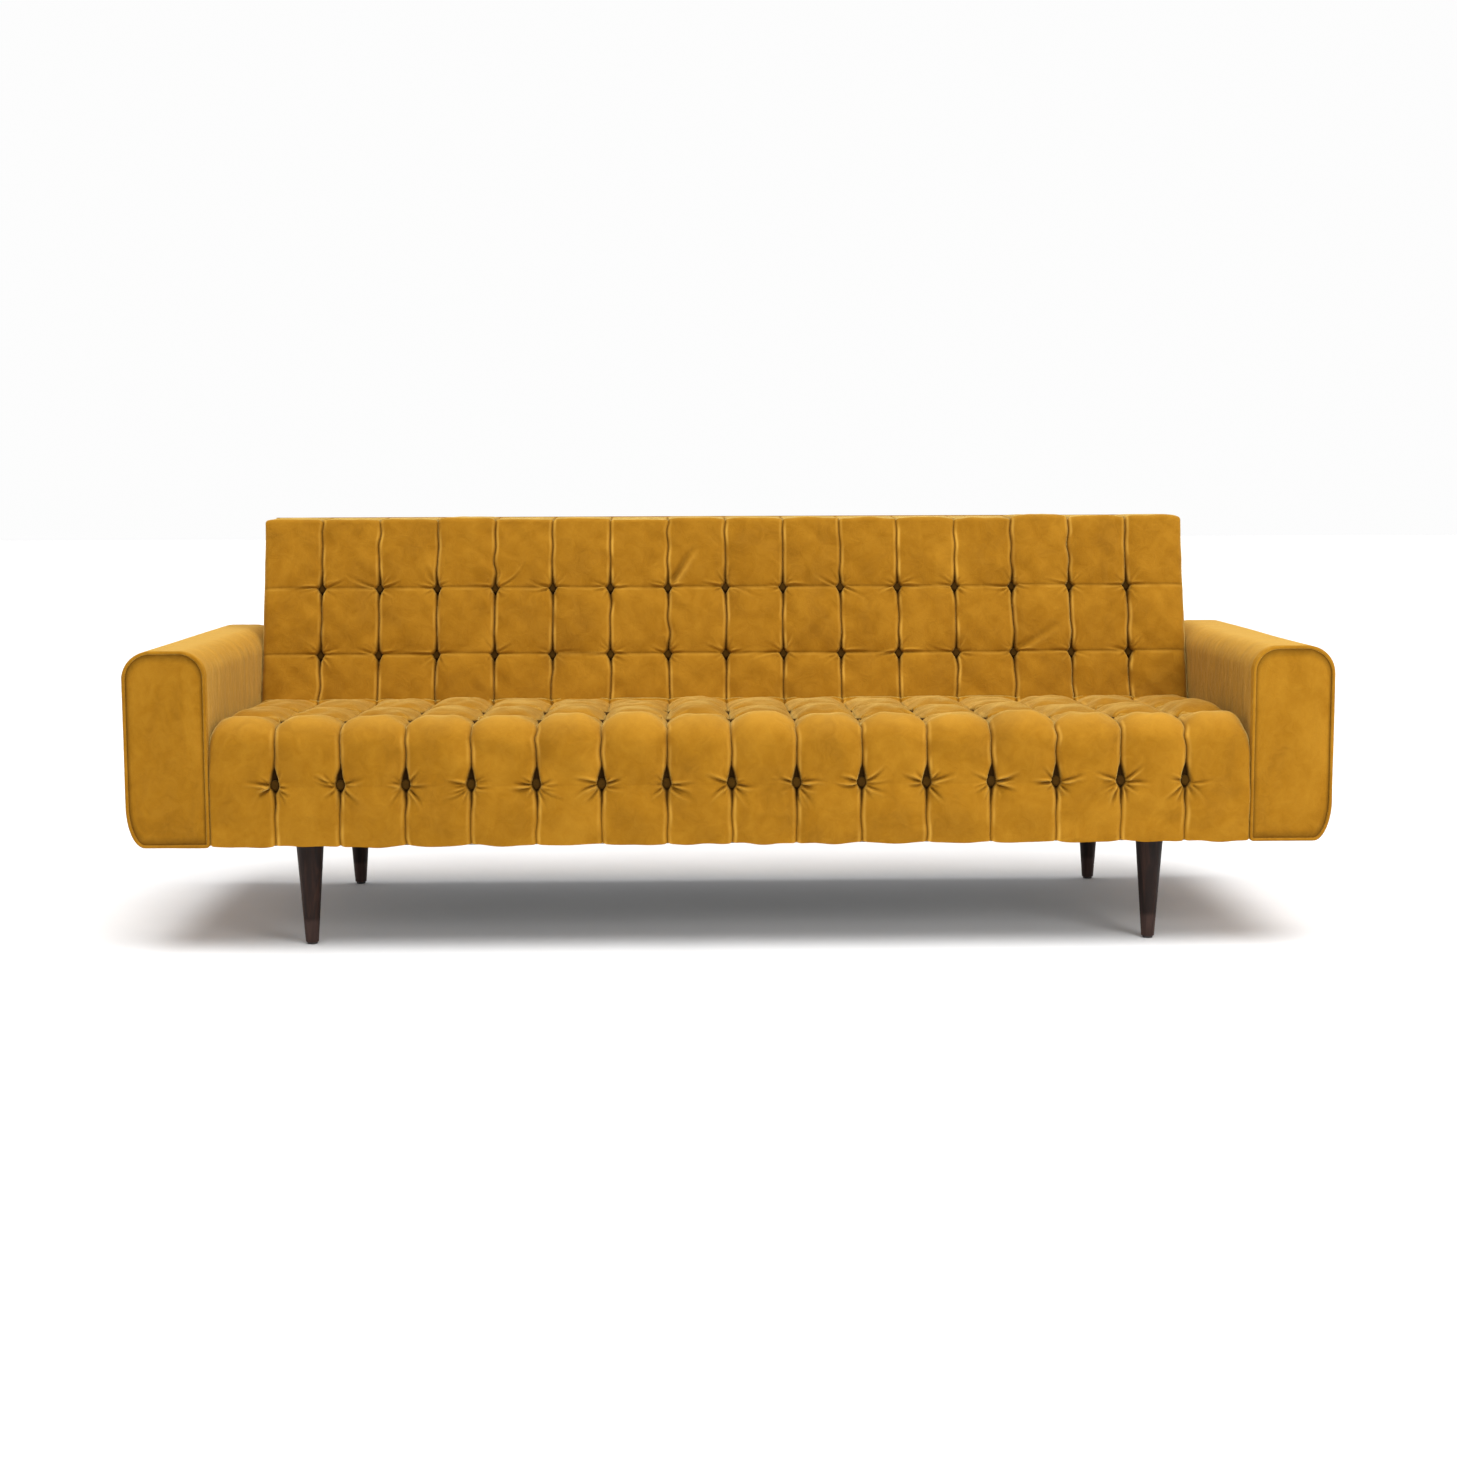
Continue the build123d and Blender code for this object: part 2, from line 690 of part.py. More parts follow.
# --- Springs ----------------------------------------------------------------------
spring_slope = atan2(spring_z(1) - spring_z(0), 1)
spring_step = (SPRING_REAR_Y - SPRING_FRONT_Y) / cos(spring_slope) / (SPRING_BARS - 1)

with BuildPart() as spring:
    bends = []
    for number in range(SPRING_BARS):
        end = SPRING_HALF_WIDTH if number % 2 else -SPRING_HALF_WIDTH
        bends += [(end, number * spring_step), (-end, number * spring_step)]
    with BuildLine(sloped(SPRING_FRONT_Y, spring_z(SPRING_FRONT_Y), spring_slope)) as wire:
        FilletPolyline(*bends, radius=SPRING_BEND)
    with BuildSketch(Plane(origin=wire.line @ 0, z_dir=wire.line % 0)):
        Circle(SPRING_WIRE / 2)
    sweep()

with BuildPart() as seat_springs:
    with GridLocations(TUFT_PITCH, 1, COLUMNS, 1):
        add(spring.part)
finish(seat_springs, "seat_springs")

with BuildPart() as clip:
    for y in (SPRING_FRONT_Y, SPRING_REAR_Y):
        with BuildSketch(Plane.YZ):
            with Locations((y, spring_z(y))):
                Circle(CLIP_RADIUS)
            with Locations((y, spring_z(y) - CLIP_RADIUS)):
                Rectangle(CLIP_TAIL, CLIP_SHEET, align=(Align.MIN, Align.MIN))
            with Locations((y, spring_z(y))):
                Circle(SPRING_WIRE / 2 + WIRE_PLAY, mode=Mode.SUBTRACT)
        extrude(amount=CLIP_HALF, both=True)

with BuildPart() as spring_clips:
    with GridLocations(TUFT_PITCH, 1, COLUMNS, 1):
        add(clip.part)
finish(spring_clips, "spring_clips")

with BuildPart() as spring_tie_wires:
    tie_drop = (SPRING_WIRE + TIE_WIRE) / 2 + TIE_GAP
    with Locations(*facing_right([(0, y, spring_z(y) - tie_drop) for y in TIE_Y])):
        Cylinder(TIE_WIRE / 2, 2 * SIDE_RAIL_X)
finish(spring_tie_wires, "spring_tie_wires")


# --- Arms -------------------------------------------------------------------------
board_front = ARM_FRONT + 2 * PIPING_RADIUS
board_rear = ARM_REAR - 2 * PIPING_RADIUS
pad_front = board_front + ARM_BOARD
pad_rear = board_rear - ARM_BOARD
pad_y = (pad_front, pad_rear)
PANEL_INSET = 2 * PIPING_RADIUS + PANEL_GAP
CORE_INSET = SKIN + ARM_WADDING
core_left = BODY_HALF + CORE_INSET
core_right = WIDTH / 2 - CORE_INSET
core_top = ARM_TOP - CORE_INSET
arm_floor = BASE_Z + SKIN


def square_to_y(y):
    """A plane square to Y, seen from the front, with Z up its own Y axis."""
    return Plane.XZ.offset(-y)


for label, start, length, inset in (
    ("arm_front_panel", board_front, -PANEL_PROUD, PANEL_INSET),
    ("arm_front_board", board_front, ARM_BOARD, SKIN),
    ("arm_rear_board", board_rear, -ARM_BOARD, SKIN),
    ("arm_rear_panel", board_rear, PANEL_PROUD, PANEL_INSET),
):
    with BuildPart() as plate:
        with BuildSketch(square_to_y(start)):
            add(arm_outline(inset))
        extrude(amount=-length)
    finish_pair(plate, label)

with BuildPart() as arm_cover:
    with BuildSketch(square_to_y(board_front)):
        add(arm_outline(0))
        add(arm_outline(SKIN), mode=Mode.SUBTRACT)
    extrude(amount=board_front - board_rear)
    arm_bolt_holes()
finish_pair(arm_cover, "arm_cover")

with BuildPart() as arm_padding:
    with BuildSketch(square_to_y(pad_front)):
        add(arm_outline(SKIN))
        add(arm_outline(CORE_INSET), mode=Mode.SUBTRACT)
    extrude(amount=pad_front - pad_rear)
    bar((BODY_HALF, WIDTH / 2), pad_y, (BASE_Z, BASE_Z + CORE_INSET + PADDING_GAP), mode=Mode.SUBTRACT)
    arm_bolt_holes()
finish_pair(arm_padding, "arm_padding")

with BuildPart() as arm_top_board:
    with BuildSketch(square_to_y(pad_front)):
        add(arm_outline(CORE_INSET))
        with Locations(((core_left + core_right) / 2, core_top)):
            Rectangle(
                ARM_WIDTH,
                ARM_BOARD,
                align=(Align.CENTER, Align.MAX),
                mode=Mode.INTERSECT,
            )
    extrude(amount=pad_front - pad_rear)
finish_pair(arm_top_board, "arm_top_board")

with BuildPart() as arm_side_panels:
    outer_low = BASE_Z + ARM_SWEEP[1]
    outer_high = ARM_TOP - ARM_OUTER_RADIUS
    bar((core_left, core_left + SIDE_PANEL), pad_y, (arm_floor, ARM_TOP - ARM_INNER_RADIUS))
    bar((core_right - SIDE_PANEL, core_right), pad_y, (outer_low, outer_high))
    arm_bolt_holes()
finish_pair(arm_side_panels, "arm_side_panels")

with BuildPart() as arm_lower_rail:
    rail_left = core_left + SIDE_PANEL
    bar((rail_left, rail_left + TIMBER), pad_y, (arm_floor, SIDE_RAIL_TOP))
    arm_bolt_holes()
finish_pair(arm_lower_rail, "arm_lower_rail")

with BuildPart() as arm_piping:
    for y in (ARM_FRONT + PIPING_RADIUS, ARM_REAR - PIPING_RADIUS):
        seam = square_to_y(y) * arm_outline(PIPING_RADIUS).wire()
        with BuildSketch(Plane(origin=seam @ 0, z_dir=seam % 0)):
            Circle(PIPING_RADIUS)
        sweep(path=seam)
finish_pair(arm_piping, "arm_piping")


# --- Bolts ------------------------------------------------------------------------
def make_bolt(grip):
    """A carriage bolt, head down, with a flange nut at the end of its grip."""
    with BuildPart() as fastener:
        Cylinder(HEAD_RADIUS, HEAD_HEIGHT, align=DOWNWARD)
        fillet(fastener.faces().sort_by(Axis.Z)[0].edges(), HEAD_EDGE)
        Cylinder(BOLT_RADIUS, grip + FLANGE + NUT_HEIGHT + BOLT_TAIL, align=UPWARD)
        with BuildSketch(Plane.XY.offset(grip)):
            Circle(FLANGE_RADIUS)
            Circle(NUT_BORE, mode=Mode.SUBTRACT)
        extrude(amount=FLANGE)
        with BuildSketch(Plane.XY.offset(grip + FLANGE)):
            RegularPolygon(NUT_RADIUS, 6)
            Circle(NUT_BORE, mode=Mode.SUBTRACT)
        extrude(amount=NUT_HEIGHT)
    return fastener


ARM_GRIP = TIMBER + CORE_INSET + SIDE_PANEL + TIMBER
BACK_GRIP = TIMBER - HEAD_HEIGHT - HEAD_PLAY

with BuildPart() as arm_bolts:
    heads = [(SIDE_RAIL_X, y, ARM_BOLT_Z) for y in ARM_BOLT_Y]
    with Locations(*facing_right(heads)):
        add(make_bolt(ARM_GRIP).part)
    mirror(about=Plane.YZ)
finish(arm_bolts, "arm_bolts")

with BuildPart() as back_bolts:
    heads = [(-SIDE_RAIL_X - BACK_GRIP, y, BACK_BOLT_Z) for y in BACK_BOLT_Y]
    with Locations(*facing_right(heads)):
        add(make_bolt(BACK_GRIP).part)
    mirror(about=Plane.YZ)
finish(back_bolts, "back_bolts")

# --- Legs -------------------------------------------------------------------------
with BuildPart() as leg:
    with Locations((0, 0, GLIDE_HEIGHT)):
        Cone(LEG_FOOT_RADIUS, LEG_TOP_RADIUS, LEG_TOP - GLIDE_HEIGHT, align=UPWARD)
    fillet(leg.faces().sort_by(Axis.Z)[0].edges(), LEG_EASE)
    with Locations((0, 0, HANGER_Z[0])):
        Cylinder(BOLT_HOLE_RADIUS, BASE_Z - HANGER_Z[0], align=UPWARD, mode=Mode.SUBTRACT)
    Cylinder(NAIL_RADIUS + NAIL_PLAY[0], NAIL_TOP + NAIL_PLAY[1], align=UPWARD, mode=Mode.SUBTRACT)

for depth_name, y in zip(("front", "rear"), LEG_Y):
    for side_name, x in (("left", -LEG_X), ("right", LEG_X)):
        with BuildPart() as placed_leg:
            with Locations((x, y)):
                add(leg.part)
        finish(placed_leg, f"leg_{depth_name}_{side_name}")

leg_places = [(x, y) for x in (-LEG_X, LEG_X) for y in LEG_Y]

with BuildPart() as hanger_bolts:
    with Locations(*[(x, y, HANGER_Z[0]) for x, y in leg_places]):
        Cylinder(BOLT_RADIUS, HANGER_Z[1] - HANGER_Z[0], align=UPWARD)
finish(hanger_bolts, "hanger_bolts")

with BuildPart() as tee_nut:
    Cylinder(TEE_FLANGE_RADIUS, TEE_FLANGE, align=UPWARD)
    Cylinder(TEE_BARREL_RADIUS, TEE_DEPTH, align=DOWNWARD)
    Cylinder(BOLT_RADIUS + THREAD_PLAY, 4 * TEE_DEPTH, mode=Mode.SUBTRACT)

with BuildPart() as tee_nuts:
    with Locations(*[(x, y, BASE_Z + BLOCK_HEIGHT) for x, y in leg_places]):
        add(tee_nut.part)
finish(tee_nuts, "tee_nuts")

with BuildPart() as glide:
    Cylinder(GLIDE_RADIUS, GLIDE_HEIGHT, align=UPWARD)
    fillet(glide.faces().sort_by(Axis.Z)[0].edges(), GLIDE_EDGE)
    Cylinder(NAIL_RADIUS, NAIL_TOP, align=UPWARD)

with BuildPart() as leg_glides:
    with Locations(*leg_places):
        add(glide.part)
finish(leg_glides, "leg_glides")
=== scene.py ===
import json
from math import cos, pi, radians, sin

import bpy
import numpy as np
from mathutils import Matrix, Vector


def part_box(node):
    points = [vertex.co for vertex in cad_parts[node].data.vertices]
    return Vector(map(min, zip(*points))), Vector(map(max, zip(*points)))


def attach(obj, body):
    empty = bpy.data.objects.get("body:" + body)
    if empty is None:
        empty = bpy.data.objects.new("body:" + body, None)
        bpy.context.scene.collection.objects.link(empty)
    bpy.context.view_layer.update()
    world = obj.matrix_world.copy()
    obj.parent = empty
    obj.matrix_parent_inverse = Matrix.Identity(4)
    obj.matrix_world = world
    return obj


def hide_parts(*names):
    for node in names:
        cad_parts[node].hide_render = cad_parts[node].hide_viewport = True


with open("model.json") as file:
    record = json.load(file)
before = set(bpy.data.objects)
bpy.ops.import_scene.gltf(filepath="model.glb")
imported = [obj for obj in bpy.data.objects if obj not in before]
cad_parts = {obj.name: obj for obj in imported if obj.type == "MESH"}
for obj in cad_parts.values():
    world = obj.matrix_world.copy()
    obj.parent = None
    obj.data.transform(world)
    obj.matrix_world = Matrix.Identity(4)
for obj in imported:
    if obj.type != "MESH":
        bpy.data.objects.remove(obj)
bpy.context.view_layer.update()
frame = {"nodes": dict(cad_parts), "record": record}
scene = bpy.context.scene

# The looks of a long biscuit-tufted velvet sofa. Metres, in the frame of the CAD model:
# X across, Y from front to rear, Z up. Each tufted piece is a closed grid, whose rows and
# columns gather at the pleats, with its padding, pleats and creases worked out per point.

COLUMNS = 16
LEAN_DEGREES = 16  # how far the back leans to the rear
LEAN = radians(LEAN_DEGREES)


# --- Camera -----------------------------------------------------------------------------
CAMERA_PLACE = (-0.087, -4.584, 0.896)
CAMERA_PITCH = 0.1112  # radians down
CAMERA_YAW = 0.0193  # radians to the right
CAMERA_ROLL = 0.0036
CAMERA_LENS, CAMERA_SENSOR = 54.96, 36  # millimetres
CAMERA_REACH = 60


def make_camera():
    """A view from the front, a little left of the middle and slightly from above."""
    pitch, yaw, roll = CAMERA_PITCH, CAMERA_YAW, CAMERA_ROLL
    ahead = Vector((sin(yaw) * cos(pitch), cos(yaw) * cos(pitch), -sin(pitch)))
    right = Vector((cos(yaw), -sin(yaw), 0))
    up = right.cross(ahead)
    rolled_right = right * cos(roll) - up * sin(roll)
    rolled_up = up * cos(roll) + right * sin(roll)
    turn = Matrix((rolled_right, rolled_up, -ahead)).transposed()
    data = bpy.data.cameras.new("camera")
    data.sensor_width = CAMERA_SENSOR
    data.lens = CAMERA_LENS
    data.clip_end = CAMERA_REACH
    camera = bpy.data.objects.new("camera", data)
    camera.matrix_world = Matrix.Translation(CAMERA_PLACE) @ turn.to_4x4()
    scene.collection.objects.link(camera)
    scene.camera = camera


make_camera()


# --- Node helpers -------------------------------------------------------------------
class Nodes:
    """A short way to build one material's node tree."""

    def __init__(self, name):
        self.material = bpy.data.materials.new(name)
        self.material.use_nodes = True
        self.tree = self.material.node_tree
        self.shader = self.tree.nodes["Principled BSDF"]

    def add(self, kind, **values):
        node = self.tree.nodes.new(kind)
        for key, value in values.items():
            setattr(node, key, value)
        return node

    def link(self, out, into):
        self.tree.links.new(out, into)

    def place(self, scale=(1, 1, 1)):
        """Object coordinates, stretched along their axes."""
        coords = self.add("ShaderNodeTexCoord")
        mapping = self.add("ShaderNodeMapping")
        mapping.inputs["Scale"].default_value = scale
        self.link(coords.outputs["Object"], mapping.inputs["Vector"])
        return mapping.outputs["Vector"]

    def noise(self, vector, scale, detail=3, roughness=0.5, distortion=0):
        """Noise with about scale features in a metre."""
        node = self.add("ShaderNodeTexNoise")
        node.inputs["Scale"].default_value = scale
        node.inputs["Detail"].default_value = detail
        node.inputs["Roughness"].default_value = roughness
        node.inputs["Distortion"].default_value = distortion
        self.link(vector, node.inputs["Vector"])
        return node.outputs["Fac"]

    def ramp(self, factor, stops):
        node = self.add("ShaderNodeValToRGB")
        elements = node.color_ramp.elements
        while len(elements) < len(stops):
            elements.new(0.5)
        for element, (place, colour) in zip(elements, stops):
            element.position = place
            element.color = (*colour, 1)
        self.link(factor, node.inputs["Fac"])
        return node.outputs["Color"]

    def grey(self, factor, stops):
        return self.ramp(factor, [(place, (value,) * 3) for place, value in stops])

    def mix(self, factor, first, second, blend="MIX"):
        node = self.add("ShaderNodeMix", data_type="RGBA", blend_type=blend)
        colours = node.inputs[6], node.inputs[7]
        for value, socket in zip((factor, first, second), (node.inputs[0], *colours)):
            if isinstance(value, (int, float)):
                socket.default_value = value
            elif isinstance(value, tuple):
                socket.default_value = (*value, 1)
            else:
                self.link(value, socket)
        return node.outputs[2]

    def attribute(self, name):
        return self.add("ShaderNodeAttribute", attribute_name=name).outputs["Fac"]

    def bump(self, layers):
        """Bump layers, each given as (height, strength, distance), one on the other."""
        normal = None
        for height, strength, distance in layers:
            node = self.add("ShaderNodeBump")
            node.inputs["Strength"].default_value = strength
            node.inputs["Distance"].default_value = distance
            self.link(height, node.inputs["Height"])
            if normal is not None:
                self.link(normal, node.inputs["Normal"])
            normal = node.outputs["Normal"]
        self.link(normal, self.shader.inputs["Normal"])

    def paint(self, colour):
        self.link(colour, self.shader.inputs["Base Color"])

    def rough(self, factor, low, high):
        """Roughness that goes from low to high with the factor."""
        self.link(self.grey(factor, [(0.3, low), (0.7, high)]), self.shader.inputs["Roughness"])

    def set(self, **values):
        for key, value in values.items():
            self.shader.inputs[key.replace("_", " ")].default_value = value


# --- Materials ------------------------------------------------------------------------
VELVET_DEEP = (0.188, 0.077, 0.0025)
VELVET_MID = (0.270, 0.115, 0.004)
VELVET_PALE = (0.40, 0.190, 0.015)
# painted shade, for closed pleats, button pits, crease valleys, button-row folds and seam grooves
VELVET_PAINTED_SHADE = (0.022, 0.009, 0.001)
# painted highlight, for tight edges beside pleats, crease ridges, crests and the arms' tops
VELVET_PAINTED_HIGHLIGHT = (0.62, 0.34, 0.05)
VELVET_SHEEN = (1.0, 0.75, 0.24)
NAP, BLOTCH, WEAVE, PILE = 9, 34, 420, 1500  # features in a metre


def make_velvet(name, streak=(1, 1, 1), pale=0.5, light=1.0, sheen=0.85):
    """Mustard cotton velvet: brushed nap and a fine pile, with a painted highlight on tight edges
    and painted shade in closed pleats, pits and creases.
    """
    n = Nodes(name)
    plain = n.place()
    brushed = n.place(streak)
    nap = n.noise(brushed, NAP, 5, 0.62, 0.6)
    blotch = n.noise(plain, BLOTCH, 5, 0.66, 0.9)
    pile = n.noise(plain, PILE, 2, 0.7)
    weave = n.noise(plain, WEAVE, 2, 0.5)
    nap_colour = n.ramp(nap, [(0.32, VELVET_DEEP), (0.5, VELVET_MID), (0.7, VELVET_PALE)])
    flat_colour = n.mix(pale, VELVET_MID, nap_colour)
    mottled = n.mix(n.grey(blotch, [(0.38, 0.0), (0.68, 0.32)]), flat_colour, VELVET_PALE)
    fuzz = n.mix(1.0, mottled, n.grey(pile, [(0.3, 0.86), (0.7, 1.14)]), "MULTIPLY")
    # light scales the colour: above 1 it paints in light, below 1 it paints in shade
    fuzz = n.mix(1.0, fuzz, (light,) * 3, "MULTIPLY")
    # painted highlight, as much as the rim value
    edged = n.mix(n.attribute("rim"), fuzz, VELVET_PAINTED_HIGHLIGHT)
    # painted shade, as much as the slit value
    closed = n.mix(n.attribute("slit"), edged, VELVET_PAINTED_SHADE)
    n.paint(closed)
    n.rough(nap, 0.82, 0.95)
    n.set(Sheen_Weight=sheen, Sheen_Roughness=0.31, Specular_IOR_Level=0.1)
    n.shader.inputs["Sheen Tint"].default_value = (*VELVET_SHEEN, 1)
    n.bump([(blotch, 0.5, 0.003), (weave, 0.3, 0.0006), (pile, 0.5, 0.0004)])
    return n.material


WOOD_DARK = [
    (0.3, (0.004, 0.0025, 0.002)),
    (0.52, (0.014, 0.006, 0.004)),
    (0.75, (0.044, 0.018, 0.01)),
]
WOOD_PALE = [(0.3, (0.02, 0.01, 0.008)), (0.55, (0.042, 0.022, 0.017)), (0.8, (0.08, 0.042, 0.03))]
FOOT_FROM, FOOT_TO = 0.046, 0.054  # heights between which the rubbed foot ends
FOOT_WAVE = 0.004


def make_leg_wood():
    """Dark oiled rosewood, turned, with a paler, rubbed foot."""
    n = Nodes("rosewood")
    grain = n.noise(n.place((46, 46, 2.2)), 1.0, 6, 0.62, 1.4)
    fibre = n.noise(n.place((300, 300, 9)), 1.0, 3, 0.6)
    split = n.add("ShaderNodeSeparateXYZ")
    n.link(n.place(), split.inputs["Vector"])
    wavy = n.add("ShaderNodeMath", operation="MULTIPLY_ADD")
    n.link(fibre, wavy.inputs[0])
    wavy.inputs[1].default_value = FOOT_WAVE
    n.link(split.outputs["Z"], wavy.inputs[2])
    foot = n.add("ShaderNodeMapRange")
    spans = {"From Min": FOOT_FROM, "From Max": FOOT_TO, "To Min": 1, "To Max": 0}
    for socket, value in spans.items():
        foot.inputs[socket].default_value = value
    n.link(wavy.outputs[0], foot.inputs["Value"])
    n.paint(n.mix(foot.outputs["Result"], n.ramp(grain, WOOD_DARK), n.ramp(grain, WOOD_PALE)))
    n.rough(fibre, 0.42, 0.6)
    n.set(Specular_IOR_Level=0.16)
    n.bump([(grain, 0.12, 0.001), (fibre, 0.25, 0.0004)])
    return n.material


def make_timber(name, dark, light, scale=1.0):
    """Planed timber or board with long grain."""
    n = Nodes(name)
    grain = n.noise(n.place((6 * scale, 60 * scale, 60 * scale)), 1.0, 6, 0.6, 1.0)
    pores = n.noise(n.place((40, 700, 700)), 1.0, 2, 0.6)
    colour = n.ramp(grain, [(0.3, dark), (0.7, light)])
    n.paint(n.mix(1.0, colour, n.grey(pores, [(0.3, 0.8), (0.6, 1.0)]), "MULTIPLY"))
    n.rough(pores, 0.75, 0.6)
    n.bump([(grain, 0.2, 0.001), (pores, 0.3, 0.0003)])
    return n.material


def make_cloth(name, dark, light, threads):
    """Plain woven cloth with crossing threads."""
    n = Nodes(name)
    warp = n.add("ShaderNodeTexWave", bands_direction="X")
    weft = n.add("ShaderNodeTexWave", bands_direction="Y")
    space = n.place()
    for wave in (warp, weft):
        wave.inputs["Scale"].default_value = threads
        wave.inputs["Distortion"].default_value = 1.5
        n.link(space, wave.inputs["Vector"])
    crossing = n.mix(0.5, warp.outputs["Fac"], weft.outputs["Fac"])
    slub = n.noise(space, 60, 4, 0.6)
    n.paint(n.mix(n.grey(slub, [(0.3, 0), (0.7, 1)]), dark, light))
    n.set(Roughness=0.92, Specular_IOR_Level=0.15)
    n.bump([(crossing, 0.5, 0.0006), (slub, 0.2, 0.001)])
    return n.material


def make_foam():
    """Open-celled cushion foam."""
    n = Nodes("foam")
    cells = n.add("ShaderNodeTexVoronoi")
    cells.inputs["Scale"].default_value = 600
    n.link(n.place(), cells.inputs["Vector"])
    wall = cells.outputs["Distance"]
    n.paint(n.ramp(wall, [(0.1, (0.62, 0.56, 0.38)), (0.6, (0.82, 0.77, 0.6))]))
    n.set(Roughness=0.95)
    n.bump([(wall, 0.5, 0.0006)])
    return n.material


def make_metal(name, colour, roughness):
    """Drawn or pressed steel with a little scuffing."""
    n = Nodes(name)
    scuff = n.noise(n.place(), 240, 4, 0.6)
    scuffed = tuple(0.6 * value for value in colour)
    n.paint(n.mix(n.grey(scuff, [(0.35, 0), (0.7, 0.4)]), colour, scuffed))
    n.rough(scuff, roughness, roughness + 0.2)
    n.set(Metallic=1.0)
    return n.material


def make_glide():
    """Moulded nylon glide."""
    n = Nodes("glide")
    grain = n.noise(n.place(), 900, 2, 0.5)
    n.paint(n.ramp(grain, [(0.3, (0.012, 0.01, 0.01)), (0.7, (0.03, 0.026, 0.024))]))
    n.set(Roughness=0.55)
    n.bump([(grain, 0.2, 0.0002)])
    return n.material


velvet_body = make_velvet("velvet_body", (1, 1, 0.8), 0.45)
# the velvet without sheen, for faces deep in painted shade
velvet_painted_shade = make_velvet("velvet_painted_shade", sheen=0)
# the arms' velvet: its nap brushed in long streaks, and its colour painted 1.2 times lighter, as
# painted light
velvet_arm = make_velvet("velvet_arm", (1.6, 4.4, 1.1), 0.55, light=1.2, sheen=0.5)
velvet_panel = make_velvet("velvet_panel", (1.4, 1, 0.7), 0.5)
# the buttons' velvet, painted far darker: painted shade of the pits they sit in
velvet_button_painted_shade = make_velvet("velvet_button_painted_shade", light=0.17, sheen=0.10)

SLOT_MATERIALS = {
    "velvet": velvet_body,
    "leg_wood": make_leg_wood(),
    "frame_timber": make_timber("beech", (0.42, 0.25, 0.13), (0.62, 0.42, 0.24)),
    "plywood": make_timber("plywood", (0.48, 0.32, 0.17), (0.68, 0.5, 0.3), 0.6),
    "hardboard": make_timber("hardboard", (0.12, 0.06, 0.03), (0.2, 0.11, 0.05), 3),
    "foam": make_foam(),
    "wadding": make_cloth("wadding", (0.72, 0.72, 0.7), (0.86, 0.86, 0.84), 120),
    "hessian": make_cloth("hessian", (0.26, 0.17, 0.08), (0.42, 0.3, 0.16), 180),
    "webbing": make_cloth("webbing", (0.02, 0.018, 0.016), (0.06, 0.055, 0.05), 220),
    "dust_cloth": make_cloth("dust_cloth", (0.008, 0.008, 0.008), (0.02, 0.02, 0.021), 320),
    "twine": make_cloth("twine", (0.35, 0.27, 0.17), (0.5, 0.4, 0.26), 500),
    "steel": make_metal("steel", (0.5, 0.5, 0.51), 0.32),
    "glide_plastic": make_glide(),
}


def dress_cad_nodes():
    """Give every CAD node the procedural material of its slot, but the buttons the velvet painted
    darker, as painted shade of their pits.
    """
    for part in frame["record"]["subparts"]:
        shown = frame["nodes"][part["node"]]
        sunk = part["node"].endswith("buttons")
        for slot in shown.material_slots:
            slot.material = velvet_button_painted_shade if sunk else SLOT_MATERIALS[part["material_slot"]]


dress_cad_nodes()


# --- Mesh helpers -----------------------------------------------------------------------
def mesh_object(name, points, faces, material, **attributes):
    """A smooth mesh object from points and faces, with named per-point values."""
    mesh = bpy.data.meshes.new(name)
    mesh.from_pydata(points.reshape(-1, 3).tolist(), [], faces)
    mesh.materials.append(material)
    mesh.polygons.foreach_set("use_smooth", np.ones(len(mesh.polygons), bool))
    for key, values in attributes.items():
        layer = mesh.attributes.new(key, "FLOAT", "POINT")
        layer.data.foreach_set("value", values.reshape(-1).astype(np.float32))
    mesh.update()
    piece = bpy.data.objects.new(name, mesh)
    scene.collection.objects.link(piece)
    return piece


def loft_faces(rows, columns):
    """Quads of a grid whose rows close on themselves, with a cap point at each end."""
    faces = []
    for c in range(columns - 1):
        here, there = c * rows, (c + 1) * rows
        for r in range(rows):
            following = (r + 1) % rows
            faces.append((here + r, there + r, there + following, here + following))
    first, last = rows * columns, rows * columns + 1
    for r in range(rows):
        following = (r + 1) % rows
        faces.append((r, following, first))
        faces.append(((columns - 1) * rows + following, (columns - 1) * rows + r, last))
    return faces


def smooth_noise(count, step, size, rng):
    """A gentle random line of count points, with a new value each step points."""
    knots = rng.normal(0, size, count // step + 3)
    place = np.arange(count) / step
    base = place.astype(int)
    blend = place - base
    blend = blend * blend * (3 - 2 * blend)
    return knots[base] * (1 - blend) + knots[base + 1] * blend


def gathered(count, share=0.75):
    """Places from 0 to 1 that gather at both ends."""
    even = np.linspace(0, 1, count + 1)
    return share * 0.5 * (1 - np.cos(pi * even)) + (1 - share) * even


def round_over(distance, width):
    """How far a rounded edge falls, as a share, at a distance inside it."""
    t = np.clip(distance / width, 0, 1)
    return 1 - np.sqrt(np.clip(1 - (1 - t) ** 2, 0, 1))


def bell(distance, width):
    """1 at no distance, falling smoothly to nothing at about twice the width."""
    return np.exp(-((distance / width) ** 2))


def ease(share):
    """A share from 0 to 1 with a soft start and end."""
    share = np.clip(share, 0, 1)
    return share * share * (3 - 2 * share)


# --- Tufted upholstery -----------------------------------------------------------------
def arc(centre, radius, start, end, count=28):
    turn = np.radians(np.linspace(start, end, count))
    return np.stack([centre[0] + radius * np.cos(turn), centre[1] + radius * np.sin(turn)], 1)


def line(start, end, count=20):
    share = np.linspace(0, 1, count)[:, None]
    return np.array(start) * (1 - share) + np.array(end) * share


